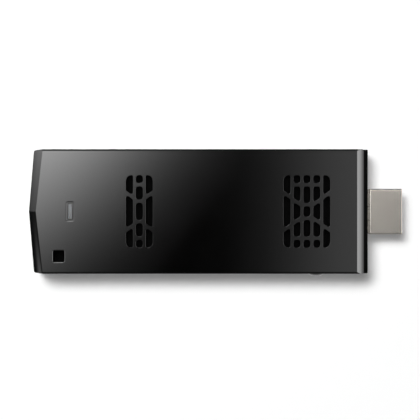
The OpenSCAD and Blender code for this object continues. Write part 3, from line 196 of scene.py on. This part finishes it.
# The same plate's outer face, from a fine-grained part of the tool: black with a broad, soft sheen
grainedPolycarbonate = mouldedMaterial("grainedBlackPolycarbonate", {
    "dark": "#020202", "light": "#040404", "smooth": 0.26, "rough": 0.36,
    "grain": 0.35, "patch": 5, "relief": 0.1, "depth": 0.02,  # real grain is 0.1 mm, drawn coarser to show
    "sockets": {"IOR": 1.58}})

# Milky polycarbonate of a light guide: pale, a little waxy, matt from its ejector side
milkyPolycarbonate = mouldedMaterial("milkyPolycarbonate", {
    "dark": "#525456", "light": "#5c5e60", "smooth": 0.45, "rough": 0.55,
    "grain": 0.2, "patch": 2, "relief": 0.05, "depth": 0.01,
    "sockets": {"IOR": 1.58, "Specular IOR Level": 0.42, "Subsurface Weight": 0.15, "Subsurface Scale": 0.0006}})

# Nickel over drawn steel: warm grey, brushed faintly along the plug
brushedNickel = drawnMaterial("brushedNickel", {
    "dark": "#98938d", "light": "#a09c95", "smooth": 0.19, "rough": 0.21,
    "streak": (18, 0.25, 0.25), "patch": 6, "relief": 0.008, "depth": 0.01})

# The same nickel on the plug's neck: rougher, and darker as painted shade from the end plate standing over it
paintedShadeNickel = drawnMaterial("paintedShadeNickel", {
    "dark": "#6c6863", "light": "#74706a", "smooth": 0.26, "rough": 0.3,
    "streak": (18, 0.25, 0.25), "patch": 6, "relief": 0.008, "depth": 0.01})

# Tinned sheet steel of the sockets: brighter and cooler than the plug
tinnedSteel = drawnMaterial("tinnedSteel", {
    "dark": "#a8a8a6", "light": "#bcbcba", "smooth": 0.22, "rough": 0.34,
    "streak": (0.3, 9, 0.3), "patch": 4, "relief": 0.05, "depth": 0.01})

# Glass-filled liquid crystal polymer: dull black with a short-fibre speckle
fibrePolymer = mouldedMaterial("fibreFilledPolymer", {
    "dark": "#0b0b0c", "light": "#111113", "smooth": 0.42, "rough": 0.6,
    "grain": 0.12, "patch": 3, "relief": 0.12, "depth": 0.012})

# Hard gold over nickel on the contacts
hardGold = drawnMaterial("hardGold", {
    "dark": "#c89b47", "light": "#dfb765", "smooth": 0.16, "rough": 0.28,
    "streak": (4, 0.12, 0.12), "patch": 1.5, "relief": 0.05, "depth": 0.005})

# White acetal of the switch plunger: waxy and slightly yellow
whiteAcetal = mouldedMaterial("whiteAcetal", {
    "dark": "#cfcbc0", "light": "#dedad0", "smooth": 0.34, "rough": 0.45,
    "grain": 0.15, "patch": 1.5, "relief": 0.04, "depth": 0.008})

# Amber-grey cast resin over the lamp's chip
castResin = mouldedMaterial("castLampResin", {
    "dark": "#c7bd8f", "light": "#d8cfa6", "smooth": 0.12, "rough": 0.2,
    "grain": 0.4, "patch": 0.8, "relief": 0.03, "depth": 0.01})

# Fired ceramic of the antennas: chalky, cream, with pinholes
firedCeramic = mouldedMaterial("firedCeramic", {
    "dark": "#c6bfae", "light": "#d9d3c4", "smooth": 0.45, "rough": 0.62,
    "grain": 0.2, "patch": 2.5, "relief": 0.15, "depth": 0.012})

# Aluminium, milled and anodised black: dark satin metal with a milling line
anodisedAluminium = drawnMaterial("blackAnodisedAluminium", {
    "dark": "#08080a", "light": "#0d0d0f", "smooth": 0.4, "rough": 0.55, "metallic": 0.6,
    "streak": (14, 0.3, 0.3), "patch": 7, "relief": 0.08, "depth": 0.012})

# Silicone gap pad, pressed under the spreader: matt, crumbly, blue-grey
gapSilicone = mouldedMaterial("siliconeGapPad", {
    "dark": "#5f6f7c", "light": "#74838f", "smooth": 0.7, "rough": 0.85,
    "grain": 0.25, "patch": 2, "relief": 0.3, "depth": 0.03})

# Black glass-filled polyester of the fan
fanPolyester = mouldedMaterial("fanPolyester", {
    "dark": "#070708", "light": "#0b0b0c", "smooth": 0.38, "rough": 0.5,
    "grain": 0.18, "patch": 3, "relief": 0.08, "depth": 0.01})

# Bonded ferrite of the magnet ring: dark, grainy, hardly shiny
bondedFerrite = mouldedMaterial("bondedFerrite", {
    "dark": "#1b1a1a", "light": "#262424", "smooth": 0.45, "rough": 0.62,
    "grain": 0.1, "patch": 1.2, "relief": 0.25, "depth": 0.015})

# Ground steel of the fan's shaft
groundSteel = drawnMaterial("groundSteel", {
    "dark": "#b9babc", "light": "#cccdcf", "smooth": 0.1, "rough": 0.2,
    "streak": (0.08, 0.08, 2), "patch": 1, "relief": 0.05, "depth": 0.004})

# Oiled bearing bronze, pressed from powder: open pores
sinteredBronze = drawnMaterial("sinteredBronze", {
    "dark": "#8a6534", "light": "#a67c43", "smooth": 0.32, "rough": 0.5,
    "streak": (0.12, 0.12, 0.12), "patch": 0.9, "relief": 0.2, "depth": 0.012})

# Soft outer skin of the fan's flat lead
leadRubber = mouldedMaterial("leadRubber", {
    "dark": "#0d0d0d", "light": "#141414", "smooth": 0.5, "rough": 0.62,
    "grain": 0.12, "patch": 2, "relief": 0.1, "depth": 0.01})

# Filled epoxy of the chips' packages: flat black with a pale speckle of silica
chipEpoxy = mouldedMaterial("chipEpoxy", {
    "dark": "#141416", "light": "#1d1d20", "smooth": 0.4, "rough": 0.58,
    "grain": 0.09, "patch": 2.2, "relief": 0.12, "depth": 0.01})

# Barium titanate body of the small capacitors
capacitorCeramic = mouldedMaterial("capacitorCeramic", {
    "dark": "#8b6a46", "light": "#a1805a", "smooth": 0.35, "rough": 0.5,
    "grain": 0.1, "patch": 0.6, "relief": 0.1, "depth": 0.008})

# Pressed iron powder of the power coils: sandy grey under a thin varnish
pressedIron = mouldedMaterial("pressedIronPowder", {
    "dark": "#2e2e30", "light": "#3d3d40", "smooth": 0.42, "rough": 0.6,
    "grain": 0.15, "patch": 1.2, "relief": 0.25, "depth": 0.02})

# Blackened steel of the small screws
blackenedSteel = drawnMaterial("blackenedSteel", {
    "dark": "#2b2b2d", "light": "#39393b", "smooth": 0.28, "rough": 0.42,
    "streak": (0.2, 0.2, 0.2), "patch": 0.8, "relief": 0.08, "depth": 0.006})


wavesPerUnit = 20 / (2 * math.pi)  # how many waves a wave texture of scale 1 draws to a unit


# Enamelled copper wire: bands of single turns round the poles, a wire every 0.12 mm

def woundCopper():
    material, tree, shader = newMaterial("woundCopperWire", {"Metallic": 1.0})
    place = addNode(tree, "ShaderNodeTexCoord").outputs["Object"]
    wires = 1 / (wavesPerUnit * 0.12 * mm)
    turn = addNode(tree, "ShaderNodeTexWave",
                   {"Vector": place, "Scale": wires, "Distortion": 0.6, "Detail": 1.0}, bands_direction="Z")
    tint = addNode(tree, "ShaderNodeValToRGB", {"Fac": turn.outputs[0]}, stops=[(0.1, "#5a2410"), (0.8, "#c4703a")])
    gloss = addNode(tree, "ShaderNodeMapRange", {"Value": turn.outputs[0], "To Min": 0.45, "To Max": 0.2})
    relief = addNode(tree, "ShaderNodeBump", {"Height": turn.outputs[0], "Strength": 0.6, "Distance": 0.04 * mm})
    tree.links.new(tint.outputs["Color"], shader.inputs["Base Color"])
    tree.links.new(gloss.outputs["Result"], shader.inputs["Roughness"])
    tree.links.new(relief.outputs["Normal"], shader.inputs["Normal"])
    return material


# Glass epoxy under black-green solder mask: the copper tracks show as paler lines, 0.35 mm wide

def maskedBoard():
    material, tree, shader = newMaterial("solderMaskedEpoxy", {"IOR": 1.55})
    place = addNode(tree, "ShaderNodeTexCoord").outputs["Object"]
    cells = addNode(tree, "ShaderNodeTexVoronoi", {"Vector": place, "Scale": 1 / (3.2 * mm), "Randomness": 0.8},
                    distance="CHEBYCHEV")
    rings = addNode(tree, "ShaderNodeMath", {0: cells.outputs["Distance"], 1: 0.22}, operation="MODULO")
    tint = addNode(tree, "ShaderNodeValToRGB", {"Fac": rings.outputs[0]}, stops=[(0.10, "#0b1a13"), (0.13, "#173524")])
    relief = addNode(tree, "ShaderNodeBump", {"Height": rings.outputs[0], "Strength": 0.25, "Distance": 0.03 * mm})
    weave = addNode(tree, "ShaderNodeTexNoise", {"Vector": place, "Scale": 1 / (0.4 * mm), "Detail": 2.0})
    gloss = addNode(tree, "ShaderNodeMapRange", {"Value": weave.outputs[0], "To Min": 0.25, "To Max": 0.42})
    tree.links.new(tint.outputs["Color"], shader.inputs["Base Color"])
    tree.links.new(gloss.outputs["Result"], shader.inputs["Roughness"])
    tree.links.new(relief.outputs["Normal"], shader.inputs["Normal"])
    return material


# Black polyester gauze of the dust screens: two crossed sets of threads, one every 0.2 mm

def wovenGauze():
    material, tree, shader = newMaterial("blackPolyesterGauze", {"Specular IOR Level": 0.03})
    place = addNode(tree, "ShaderNodeTexCoord").outputs["Object"]
    threads = 1 / (wavesPerUnit * 0.2 * mm)
    warp = addNode(tree, "ShaderNodeTexWave", {"Vector": place, "Scale": threads}, bands_direction="X")
    weft = addNode(tree, "ShaderNodeTexWave", {"Vector": place, "Scale": threads}, bands_direction="Y")
    thread = addNode(tree, "ShaderNodeMath", {0: warp.outputs[1], 1: weft.outputs[1]}, operation="MAXIMUM")
    tint = addNode(tree, "ShaderNodeValToRGB", {"Fac": thread.outputs[0]}, stops=[(0.3, "#000000"), (0.9, "#020202")])
    gloss = addNode(tree, "ShaderNodeMapRange", {"Value": thread.outputs[0], "To Min": 0.95, "To Max": 0.75})
    relief = addNode(tree, "ShaderNodeBump", {"Height": thread.outputs[0], "Strength": 0.4, "Distance": 0.05 * mm})
    tree.links.new(tint.outputs["Color"], shader.inputs["Base Color"])
    tree.links.new(gloss.outputs["Result"], shader.inputs["Roughness"])
    tree.links.new(relief.outputs["Normal"], shader.inputs["Normal"])
    return material


copperWire = woundCopper()
boardMask = maskedBoard()
screenGauze = wovenGauze()
print("materials ready:", len(bpy.data.materials))


# Which finish each carried-over node shows

finishes = {
    satinAbs: ["top_cover", "bottom_cover", "power_button"],
    etchedPolycarbonate: ["plug_end_plate"],
    screenGauze: ["inlet_screen", "outlet_screen"],
    milkyPolycarbonate: ["light_pipe"],
    brushedNickel: ["plug_shell"],
    tinnedSteel: ["host_socket_shell", "power_socket_shell", "card_slot_cover", "radio_module", "clock_crystal"],
    fibrePolymer: ["plug_core", "host_socket_tongue", "power_socket_tongue", "card_slot_frame", "switch_body"],
    hardGold: ["plug_contacts", "host_socket_contacts", "power_socket_contacts", "card_slot_contacts"],
    whiteAcetal: ["switch_plunger", "fan_socket"],
    boardMask: ["main_board"],
    castResin: ["status_lamp"],
    firedCeramic: ["antenna_1", "antenna_2"],
    anodisedAluminium: ["heat_spreader"],
    gapSilicone: ["thermal_pad"],
    fanPolyester: ["fan_housing", "fan_lid", "fan_rotor"],
    bondedFerrite: ["fan_magnet"],
    groundSteel: ["fan_shaft"],
    sinteredBronze: ["fan_sleeve"],
    copperWire: ["fan_coil"],
    leadRubber: ["fan_lead"],
    chipEpoxy: ["processor", "storage_chip", "power_controller", "firmware_chip"]
    + [f"memory_chip_{i}" for i in range(1, 5)],
    capacitorCeramic: ["capacitors"],
    pressedIron: [f"power_coil_{i}" for i in range(1, 4)],
    blackenedSteel: [f"board_screw_{i}" for i in range(1, 5)] + [f"fan_screw_{i}" for i in range(1, 3)],
}
for material, names in finishes.items():
    for name in names:
        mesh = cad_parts[name].data
        mesh.materials.clear()
        mesh.materials.append(material)
print("nodes dressed:", sum(len(names) for names in finishes.values()))


# Top cover: the node's own faces with a rounded rim round each hole in the top face

topZ = cadBox[1].z / mm
coverLook = {
    # where each hole lies, and how far its rim goes out and down, in mm
    "eye": {"x": (-46, -40), "y": (-16, -11), "rim": (0.3, 0.3)},
    "window": {"x": (-41, -36), "y": (-3.5, 3.5), "rim": (0.28, 0.18)},
    "vents": {"x": (-25, 42), "y": (-11.5, 11.5), "rim": (0.05, 0.05)},
    "rimSteps": 6, "sharp": 6,
    "skin": 0.45, "tailSkin": 5, "noseSkin": 3}  # faces further than this from top, sides, tail and nose are dull and take painted shade


def rimSize(spot):  # by the hole that the spot (x, y in mm) belongs to, nil for the face's own outline
    x, y = spot[:, :1], spot[:, 1:]
    holes = [coverLook[hole] for hole in ("eye", "window", "vents")]
    within = [(x > hole["x"][0]) & (x < hole["x"][1]) & (y > hole["y"][0]) & (y < hole["y"][1]) for hole in holes]
    return np.select(within, [np.array(hole["rim"]) for hole in holes], 0.0)


def leftOf(way):  # the unit direction to the left of each flat direction
    way = way / np.linalg.norm(way, axis=1, keepdims=True)
    return np.stack([-way[:, 1], way[:, 0]], axis=1)


points, faces = mergedNode("top_cover")
onTop = (points[faces][..., 2] > topZ - near).all(axis=1)
topFaces, otherFaces = faces[onTop], faces[~onTop]
sides = np.concatenate([topFaces[:, [0, 1]], topFaces[:, [1, 2]], topFaces[:, [2, 0]]])
count = len(points)
border = sides[~np.isin(sides[:, 0] * count + sides[:, 1], sides[:, 1] * count + sides[:, 0])]

# At each border point the rim leaves along the mitre of its two sides, into the face
inward = np.zeros((2, count, 2))
inward[0, border[:, 0]] = inward[1, border[:, 1]] = leftOf((points[border[:, 1]] - points[border[:, 0]])[:, :2])
mitre = inward.sum(axis=0) / (1 + (inward[0] * inward[1]).sum(axis=1, keepdims=True))
size = rimSize(points[:, :2])
holeSide = size[border[:, 0], 0] > 0
rim = np.unique(border[holeSide, 0])
turn = np.linspace(0, math.pi / 2, coverLook["rimSteps"] + 1)[:, None]

# Rim section: a quarter ellipse, from the hole's wall (out 0, full depth) to the face (full width, down 0)
out, down = size[rim, 0] * (1 - np.cos(turn)), size[rim, 1] * (1 - np.sin(turn))
ringPoints = np.concatenate([points[rim, :2] + mitre[rim] * out[..., None], (topZ - down)[..., None]], axis=2)
points[rim, 2] = topZ - size[rim, 1]
ring = np.concatenate([rim[None], count + np.arange(len(rim) * (len(turn) - 1)).reshape(-1, len(rim))])
rank = np.zeros(count, int)
rank[rim] = np.arange(len(rim))
a, b = rank[border[holeSide]].T
ringFaces = np.stack([ring[:-1, a], ring[:-1, b], ring[1:, b], ring[1:, a]], axis=-1).reshape(-1, 4)
points = np.concatenate([points, ringPoints[1:].reshape(-1, 3)])

# The face between its outline and the rims is filled again
outline = np.concatenate([border[~holeSide], np.stack([ring[-1, a], ring[-1, b]], axis=1)])
used, local = np.unique(outline, return_inverse=True)
fill = delaunay_2d_cdt(points[used, :2].tolist(), local.reshape(-1, 2).tolist(), [], 0, 1e-6)[2]
fill = np.array(fill)
middle = points[used][fill][..., :2].mean(axis=1)[:, None]
first, last = points[outline[:, 0], :2], points[outline[:, 1], :2]
crossing = (first[:, 1] > middle[..., 1]) != (last[:, 1] > middle[..., 1])
rise = np.where(first[:, 1] == last[:, 1], 1.0, last[:, 1] - first[:, 1])
at = first[:, 0] + (middle[..., 1] - first[:, 1]) * (last[:, 0] - first[:, 0]) / rise
inside = (crossing & (at > middle[..., 0])).sum(axis=1) % 2 == 1
fillFaces = used[fill[inside]]

coverFaces = otherFaces.tolist() + ringFaces.tolist() + fillFaces.tolist()
coverMesh = facedMesh("upperCover", points, coverFaces, coverLook["sharp"])
smooth = np.arange(len(coverFaces)) < len(coverFaces) - len(fillFaces)
coverMesh.polygons.foreach_set("use_smooth", smooth)
ends = np.empty(len(coverMesh.edges) * 2, np.int32)
coverMesh.edges.foreach_get("vertices", ends)
sharp = np.empty(len(coverMesh.edges), bool)
coverMesh.edges.foreach_get("use_edge_sharp", sharp)
onRim = np.isin(ends, rim) | (ends >= count)
coverMesh.edges.foreach_set("use_edge_sharp", sharp & ~onRim.reshape(-1, 2).any(axis=1))  # rims stay smooth
addPiece("upperCover", coverMesh, satinAbs, "casing", "casing_plastic", "top_cover")

# Faces below the skin take the dull finish with painted shade
centre = np.empty(len(coverFaces) * 3, np.float32)
coverMesh.polygons.foreach_get("center", centre)
centre = centre.reshape(-1, 3) / mm
halfWidth = points[:, 1].max()
deep = (centre[:, 2] < topZ - coverLook["skin"]) & (abs(centre[:, 1]) < halfWidth - coverLook["skin"])
deep &= centre[:, 0] > points[:, 0].min() + coverLook["tailSkin"]
deep &= centre[:, 0] < points[:, 0].max() - coverLook["noseSkin"]
coverMesh.materials.append(dullAbsPaintedShade)
coverMesh.polygons.foreach_set("material_index", deep.astype(np.int32))
print("top cover:", len(rim), "rim points,", len(fillFaces), "fill faces")


# Pieces that keep the node's form, merged so that their curves shade smoothly

softPieces = {
    "lowerCover": {"node": "bottom_cover", "material": satinAbs, "body": "casing", "slot": "casing_plastic"},
    "endPlate": {"node": "plug_end_plate", "material": etchedPolycarbonate, "body": "casing",
                 "slot": "end_plate_plastic"},
    "powerButton": {"node": "power_button", "material": satinAbs, "body": "power_button", "slot": "casing_plastic"},
    "hostShell": {"node": "host_socket_shell", "material": tinnedSteel, "body": "casing", "slot": "socket_steel"},
    "powerShell": {"node": "power_socket_shell", "material": tinnedSteel, "body": "casing", "slot": "socket_steel"},
}
for name, look in softPieces.items():
    nodePoints, nodeFaces = mergedNode(look["node"])
    addPiece(name, facedMesh(name, nodePoints, nodeFaces.tolist()), look["material"], look["body"], look["slot"],
             look["node"])
print("soft pieces:", len(softPieces))

# The end plate's faces towards the plug's tip take the grained finish
plateLook = {"outward": 0.7}  # least x of such a face's normal
plateMesh = bpy.data.objects["endPlate"].data
plateMesh.materials.append(grainedPolycarbonate)
facing = np.empty(len(plateMesh.polygons) * 3, np.float32)
plateMesh.polygons.foreach_get("normal", facing)
outward = facing[::3] > plateLook["outward"]
plateMesh.polygons.foreach_set("material_index", outward.astype(np.int32))


# Plug shell: one outline with six rounded corners, set in by a little more or less along the plug

shellLook = {"cut": 1.75, "round": 0.5, "neck": 0.15, "neckLength": 0.9, "wall": 0.37,  # mm
             "shoulder": 0.45, "lip": 0.08, "lipLength": 0.15, "steps": 6, "cornerSteps": 6}


def roundedCorners(corners, round, steps):
    # each corner's arc: its centre, and the unit directions from there to the points of the arc
    before, after = np.roll(corners, 1, axis=0) - corners, np.roll(corners, -1, axis=0) - corners
    before /= np.linalg.norm(before, axis=1, keepdims=True)
    after /= np.linalg.norm(after, axis=1, keepdims=True)
    half = np.arccos((before * after).sum(axis=1)) / 2
    bisector = (before + after) / np.linalg.norm(before + after, axis=1, keepdims=True)
    centres = corners + bisector * (round / np.sin(half))[:, None]
    start = np.arctan2(before[:, 0], -before[:, 1])
    angle = start[:, None] + np.linspace(0, 1, steps + 1) * (math.pi - 2 * half)[:, None]
    return np.repeat(centres, steps + 1, axis=0), np.stack([np.cos(angle), np.sin(angle)], axis=-1).reshape(-1, 2)


shellPoints = mergedNode("plug_shell")[0]
shellLow, shellHigh = shellPoints.min(axis=0), shellPoints.max(axis=0)
endX = mergedNode("plug_end_plate")[0][:, 0].max()
wide, tall = (shellHigh - shellLow)[1:] / 2
cut = shellLook["cut"]
corners = np.array([[cut - wide, -tall], [wide - cut, -tall], [wide, cut - tall], [wide, tall], [-wide, tall],
                    [-wide, cut - tall]])
centres, directions = roundedCorners(corners, shellLook["round"], shellLook["cornerSteps"])
quarter = np.linspace(0, math.pi / 2, shellLook["steps"] + 1)
shoulder, lip, lipLength, neck, wall = (shellLook[key] for key in ("shoulder", "lip", "lipLength", "neck", "wall"))
shoulderX, rearX, tipX = endX + shellLook["neckLength"], shellLow[0], shellHigh[0]

# Along the shell, place and inset: neck, quarter-round shoulder, body, quarter-round lip, inner wall
stations = np.concatenate([
    [[rearX, neck], [shoulderX, neck]],
    np.stack([shoulderX + shoulder * (1 - np.cos(quarter)), neck * (1 - np.sin(quarter))], axis=1),
    np.stack([tipX - lipLength * (1 - np.sin(quarter)), lip * (1 - np.cos(quarter))], axis=1),
    np.stack([tipX - (wall - lip) * (1 - np.cos(quarter)), lip + (wall - lip) * np.sin(quarter)], axis=1),
    [[rearX, wall]]])
shellMiddle = (shellHigh + shellLow)[1:] / 2
section = centres + directions * (shellLook["round"] - stations[:, 1])[:, None, None] + shellMiddle
along = np.broadcast_to(stations[:, 0][:, None, None], section.shape[:2] + (1,))
shellMesh = gridMesh("plugShell", np.concatenate([along, section], axis=2), closedAlong=True)
addPiece("plugShell", shellMesh, brushedNickel, "casing", "plug_steel", "plug_shell")
# the neck's faces take the darker nickel, painted shade from the end plate
shellMesh.materials.append(paintedShadeNickel)
onNeck = np.arange(len(shellMesh.polygons)) < section.shape[1]  # the first ring of faces
shellMesh.polygons.foreach_set("material_index", onNeck.astype(np.int32))
print("plug shell:", section.shape[:2])


# Light pipe: rounded rectangles up the pipe, wider at the flange, with a soft upper edge

pipeLook = {"corner": 0.28, "flangeLow": 0.7, "edge": 0.1, "steps": 4}
pipePoints = mergedNode("light_pipe")[0]
pipeLow, pipeHigh = pipePoints.min(axis=0), pipePoints.max(axis=0)
face = pipePoints[pipePoints[:, 2] > pipeHigh[2] - near]
faceHalf = (face.max(axis=0) - face.min(axis=0))[:2] / 2
flangeHalf = (pipeHigh - pipeLow)[:2] / 2
flangeTop = pipePoints[pipePoints[:, 0] < pipeLow[0] + near][:, 2].max()
boxCorners = np.array([[-1, -1], [1, -1], [1, 1], [-1, 1]]) * faceHalf
pipeCentres, pipeDirections = roundedCorners(boxCorners, pipeLook["corner"], pipeLook["steps"])
edge = pipeLook["edge"]
soft = np.linspace(0, math.pi / 2, pipeLook["steps"] + 1)
# Up the pipe, height and inset of the section; the flange stands out, so its inset is negative
reachOut = faceHalf[0] - flangeHalf[0]
floors = np.concatenate([
    [[pipeLow[2], 0], [flangeTop - pipeLook["flangeLow"], 0], [flangeTop - pipeLook["flangeLow"], reachOut],
     [flangeTop, reachOut], [flangeTop, 0]],
    np.stack([pipeHigh[2] - edge + edge * np.sin(soft), edge * (1 - np.cos(soft))], axis=1)])
level = pipeCentres + pipeDirections * (pipeLook["corner"] - floors[:, 1])[:, None, None]
level = level + (pipeHigh + pipeLow)[:2] / 2
height = np.broadcast_to(floors[:, 0][:, None, None], level.shape[:2] + (1,))
pipeGrid = np.concatenate([level, height], axis=2)
pipeGrid = np.concatenate([pipeGrid[:1] * 0 + pipeGrid[0].mean(axis=0), pipeGrid,
                           pipeGrid[:1] * 0 + pipeGrid[-1].mean(axis=0)])
addPiece("lightPipe", gridMesh("lightPipe", pipeGrid), milkyPolycarbonate, "casing", "light_pipe_plastic",
         "light_pipe")
print("light pipe:", pipeGrid.shape[:2])


# Stage: a white light table, camera and soft studio light

stageLook = {"floorReach": 3.0, "floorLow": 0.00005, "floorWhite": "#f2f2f2", "floorGlow": 0.175}
floorMesh = bpy.data.meshes.new("floor")
reach, floorZ = stageLook["floorReach"], -stageLook["floorLow"]
floorMesh.from_pydata([(-reach, -reach, floorZ), (reach, -reach, floorZ), (reach, reach, floorZ),
                       (-reach, reach, floorZ)], [], [(0, 1, 2, 3)])
floor = bpy.data.objects.new("floor", floorMesh)
bpy.context.scene.collection.objects.link(floor)
floor.visible_glossy = False  # the room's lower part stands for it, so that level edges stay dark
floor.visible_shadow = False  # the cards reach below the table
floorSheet, sheetTree, sheetShader = newMaterial("whiteAcrylicSheet", {
    "Base Color": linear(stageLook["floorWhite"]), "Roughness": 0.9, "Specular IOR Level": 0.0,
    "Emission Color": linear("#ffffff"), "Emission Strength": stageLook["floorGlow"]})
under = addNode(sheetTree, "ShaderNodeNewGeometry").outputs["Backfacing"]
clear = addNode(sheetTree, "ShaderNodeBsdfTransparent").outputs[0]
sheet = addNode(sheetTree, "ShaderNodeMixShader", {0: under, 1: sheetShader.outputs[0], 2: clear})  # clear from below
sheetTree.links.new(sheet.outputs[0], sheetTree.nodes["Material Output"].inputs["Surface"])
floorMesh.materials.append(floorSheet)

cameraLook = {"x": 3.58, "y": 0.45, "z": 412.5, "lens": 113.1,  # straight above the top face, in mm
              "nearest": 0.01, "furthest": 20}  # what it still sees, in m
cameraData = bpy.data.cameras.new("camera")
cameraData.lens = cameraLook["lens"]
cameraData.clip_start, cameraData.clip_end = cameraLook["nearest"], cameraLook["furthest"]
camera = bpy.data.objects.new("camera", cameraData)
camera.location = (cameraLook["x"] * mm, cameraLook["y"] * mm, cameraLook["z"] * mm)
bpy.context.scene.collection.objects.link(camera)
bpy.context.scene.camera = camera


def addPanel(name, look):  # a soft box that faces the object, or hangs flat, turned by an angle
    data = bpy.data.lights.new(name, "AREA")
    data.shape = "RECTANGLE"
    data.size, data.size_y = look["size"]
    data.energy = look["watts"]
    panel = bpy.data.objects.new(name, data)
    panel.location = look["at"]
    if "turned" in look:
        panel.rotation_euler.z = look["turned"]
    else:
        aim = panel.location.copy()
        aim.negate()
        panel.rotation_mode = "QUATERNION"
        panel.rotation_quaternion = aim.to_track_quat("-Z", "Y")
    panel.visible_camera = False
    panel.visible_glossy = look.get("mirrored", True)
    panel.visible_diffuse = look.get("lights", True)
    bpy.context.scene.collection.objects.link(panel)
    if "bell" in look:  # its light falls off from the peak like a bell curve of these widths, nil for even
        data.use_nodes = True
        tree = data.node_tree
        place = addNode(tree, "ShaderNodeNewGeometry").outputs["Parametric"]
        stretch = [size / width if width else 0 for size, width in zip(look["size"], look["bell"])]
        peak = (*look.get("peak", (0.5, 0.5)), 0)
        fromPeak = addNode(tree, "ShaderNodeVectorMath", {0: place, 1: peak}, operation="SUBTRACT")
        scaled = addNode(tree, "ShaderNodeVectorMath", {0: fromPeak.outputs[0], 1: (*stretch, 0)},
                         operation="MULTIPLY")
        square = addNode(tree, "ShaderNodeVectorMath", {0: scaled.outputs[0], 1: scaled.outputs[0]},
                         operation="DOT_PRODUCT")
        power = addNode(tree, "ShaderNodeMath", {0: square.outputs["Value"], 1: -0.5}, operation="MULTIPLY")
        fade = addNode(tree, "ShaderNodeMath", {0: power.outputs[0]}, operation="EXPONENT")
        tree.links.new(fade.outputs[0], tree.nodes["Emission"].inputs["Strength"])


panels = {
    # the floor's light, with the soft shadow to the lower right
    "keyPanel": {"at": (-0.80, 0.98, 2.8), "size": (2.2, 2.0), "watts": 537, "bell": (0.41, 0.358),
                 "mirrored": False, "turned": 0},
    # what the top face mirrors: a slanting glow beyond its upper left corner, and a weak strip beyond the plug
    "glowPanel": {"at": (-0.1285, 0.1311, 0.8125), "size": (0.78, 0.36), "watts": 9.8, "bell": (0.129, 0.057),
                  "turned": 0.90, "lights": False},
    "rightStrip": {"at": (0.0585, 0.0, 0.8125), "size": (0.213, 1.2), "watts": 0.9, "bell": (0.049, 0),
                   "peak": (0.915, 0.5), "turned": 0, "lights": False},
    # what the plug mirrors besides: a weak card above it in the picture, out of the top face's sight
    "plugCard": {"at": (0.14, 0.19, 0.8125), "size": (0.16, 0.18), "watts": 1.6, "turned": 0, "lights": False},
    # what bevels and rims mirror: cards to the right, to the left, before and behind
    "noseCard": {"at": (0.719, 0.0, 0.351), "size": (1.0, 1.08), "watts": 26, "bell": (0, 0.31),
                 "peak": (0.5, 0.66), "lights": False},
    "tailCard": {"at": (-0.746, 0.252, 0.14), "size": (0.5, 0.8), "watts": 11, "bell": (0.091, 0.2), "lights": False},
    "lowTailCard": {"at": (-0.742, -0.185, 0.06), "size": (0.28, 0.22), "watts": 0.95, "bell": (0.040, 0.05),
                    "peak": (0.5, 0.78), "lights": False},
    "leftCard": {"at": (-0.495, 0.0, 0.495), "size": (0.6, 0.594), "watts": 3.4, "lights": False},
    "frontCard": {"at": (0.085, -0.45, 0.75), "size": (0.14, 0.3), "watts": 0.25, "lights": False},
    "backCard": {"at": (-0.2, 0.56, 0.54), "size": (0.9, 0.8), "watts": 25, "bell": (0.15, 0.2), "lights": False},
}
for name, look in panels.items():
    addPanel(name, look)

# The room that gloss sees: black overhead, a soft band half way up, dark at eye level and the table's white below,
# while the camera sees white past the table
roomLook = {"overhead": 0.004, "band": 0.4, "level": 0.05, "table": 0.65, "wall": 1.0,
            # where one gives way to the next, as the upward part of the direction
            "climb": (0.15, 0.4), "ceiling": (0.7, 0.92), "drop": (-0.25, -0.1)}
world = bpy.data.worlds.new("studio")
bpy.context.scene.world = world
world.use_nodes = True
room = world.node_tree
upward = addNode(room, "ShaderNodeSeparateXYZ", {0: addNode(room, "ShaderNodeTexCoord").outputs["Generated"]})
climb = addNode(room, "ShaderNodeMapRange",
                {"Value": upward.outputs["Z"], "From Min": roomLook["climb"][0], "From Max": roomLook["climb"][1],
                 "To Min": roomLook["level"], "To Max": roomLook["band"]}, interpolation_type="SMOOTHSTEP")
ceiling = addNode(room, "ShaderNodeMapRange",
                  {"Value": upward.outputs["Z"], "From Min": roomLook["ceiling"][0],
                   "From Max": roomLook["ceiling"][1], "To Min": 1.0,
                   "To Max": roomLook["overhead"] / roomLook["band"]}, interpolation_type="SMOOTHSTEP")
table = addNode(room, "ShaderNodeMapRange",
                {"Value": upward.outputs["Z"], "From Min": roomLook["drop"][0], "From Max": roomLook["drop"][1],
                 "To Min": roomLook["table"], "To Max": 0.0}, interpolation_type="SMOOTHSTEP")
gloom = addNode(room, "ShaderNodeMath", {0: climb.outputs["Result"], 1: ceiling.outputs["Result"],
                                         2: table.outputs["Result"]}, operation="MULTIPLY_ADD")
rayKind = addNode(room, "ShaderNodeLightPath")
shown = addNode(room, "ShaderNodeMix", {"Factor": rayKind.outputs["Is Camera Ray"], "A": gloom.outputs[0],
                                        "B": roomLook["wall"]})
world.cycles_visibility.diffuse = False  # it lights nothing by itself
room.links.new(shown.outputs["Result"], room.nodes["Background"].inputs["Strength"])
room.nodes["Background"].inputs["Color"].default_value = linear("#ffffff")
bpy.context.scene.view_settings.view_transform = "Standard"
print("stage set:", len(panels), "panels")
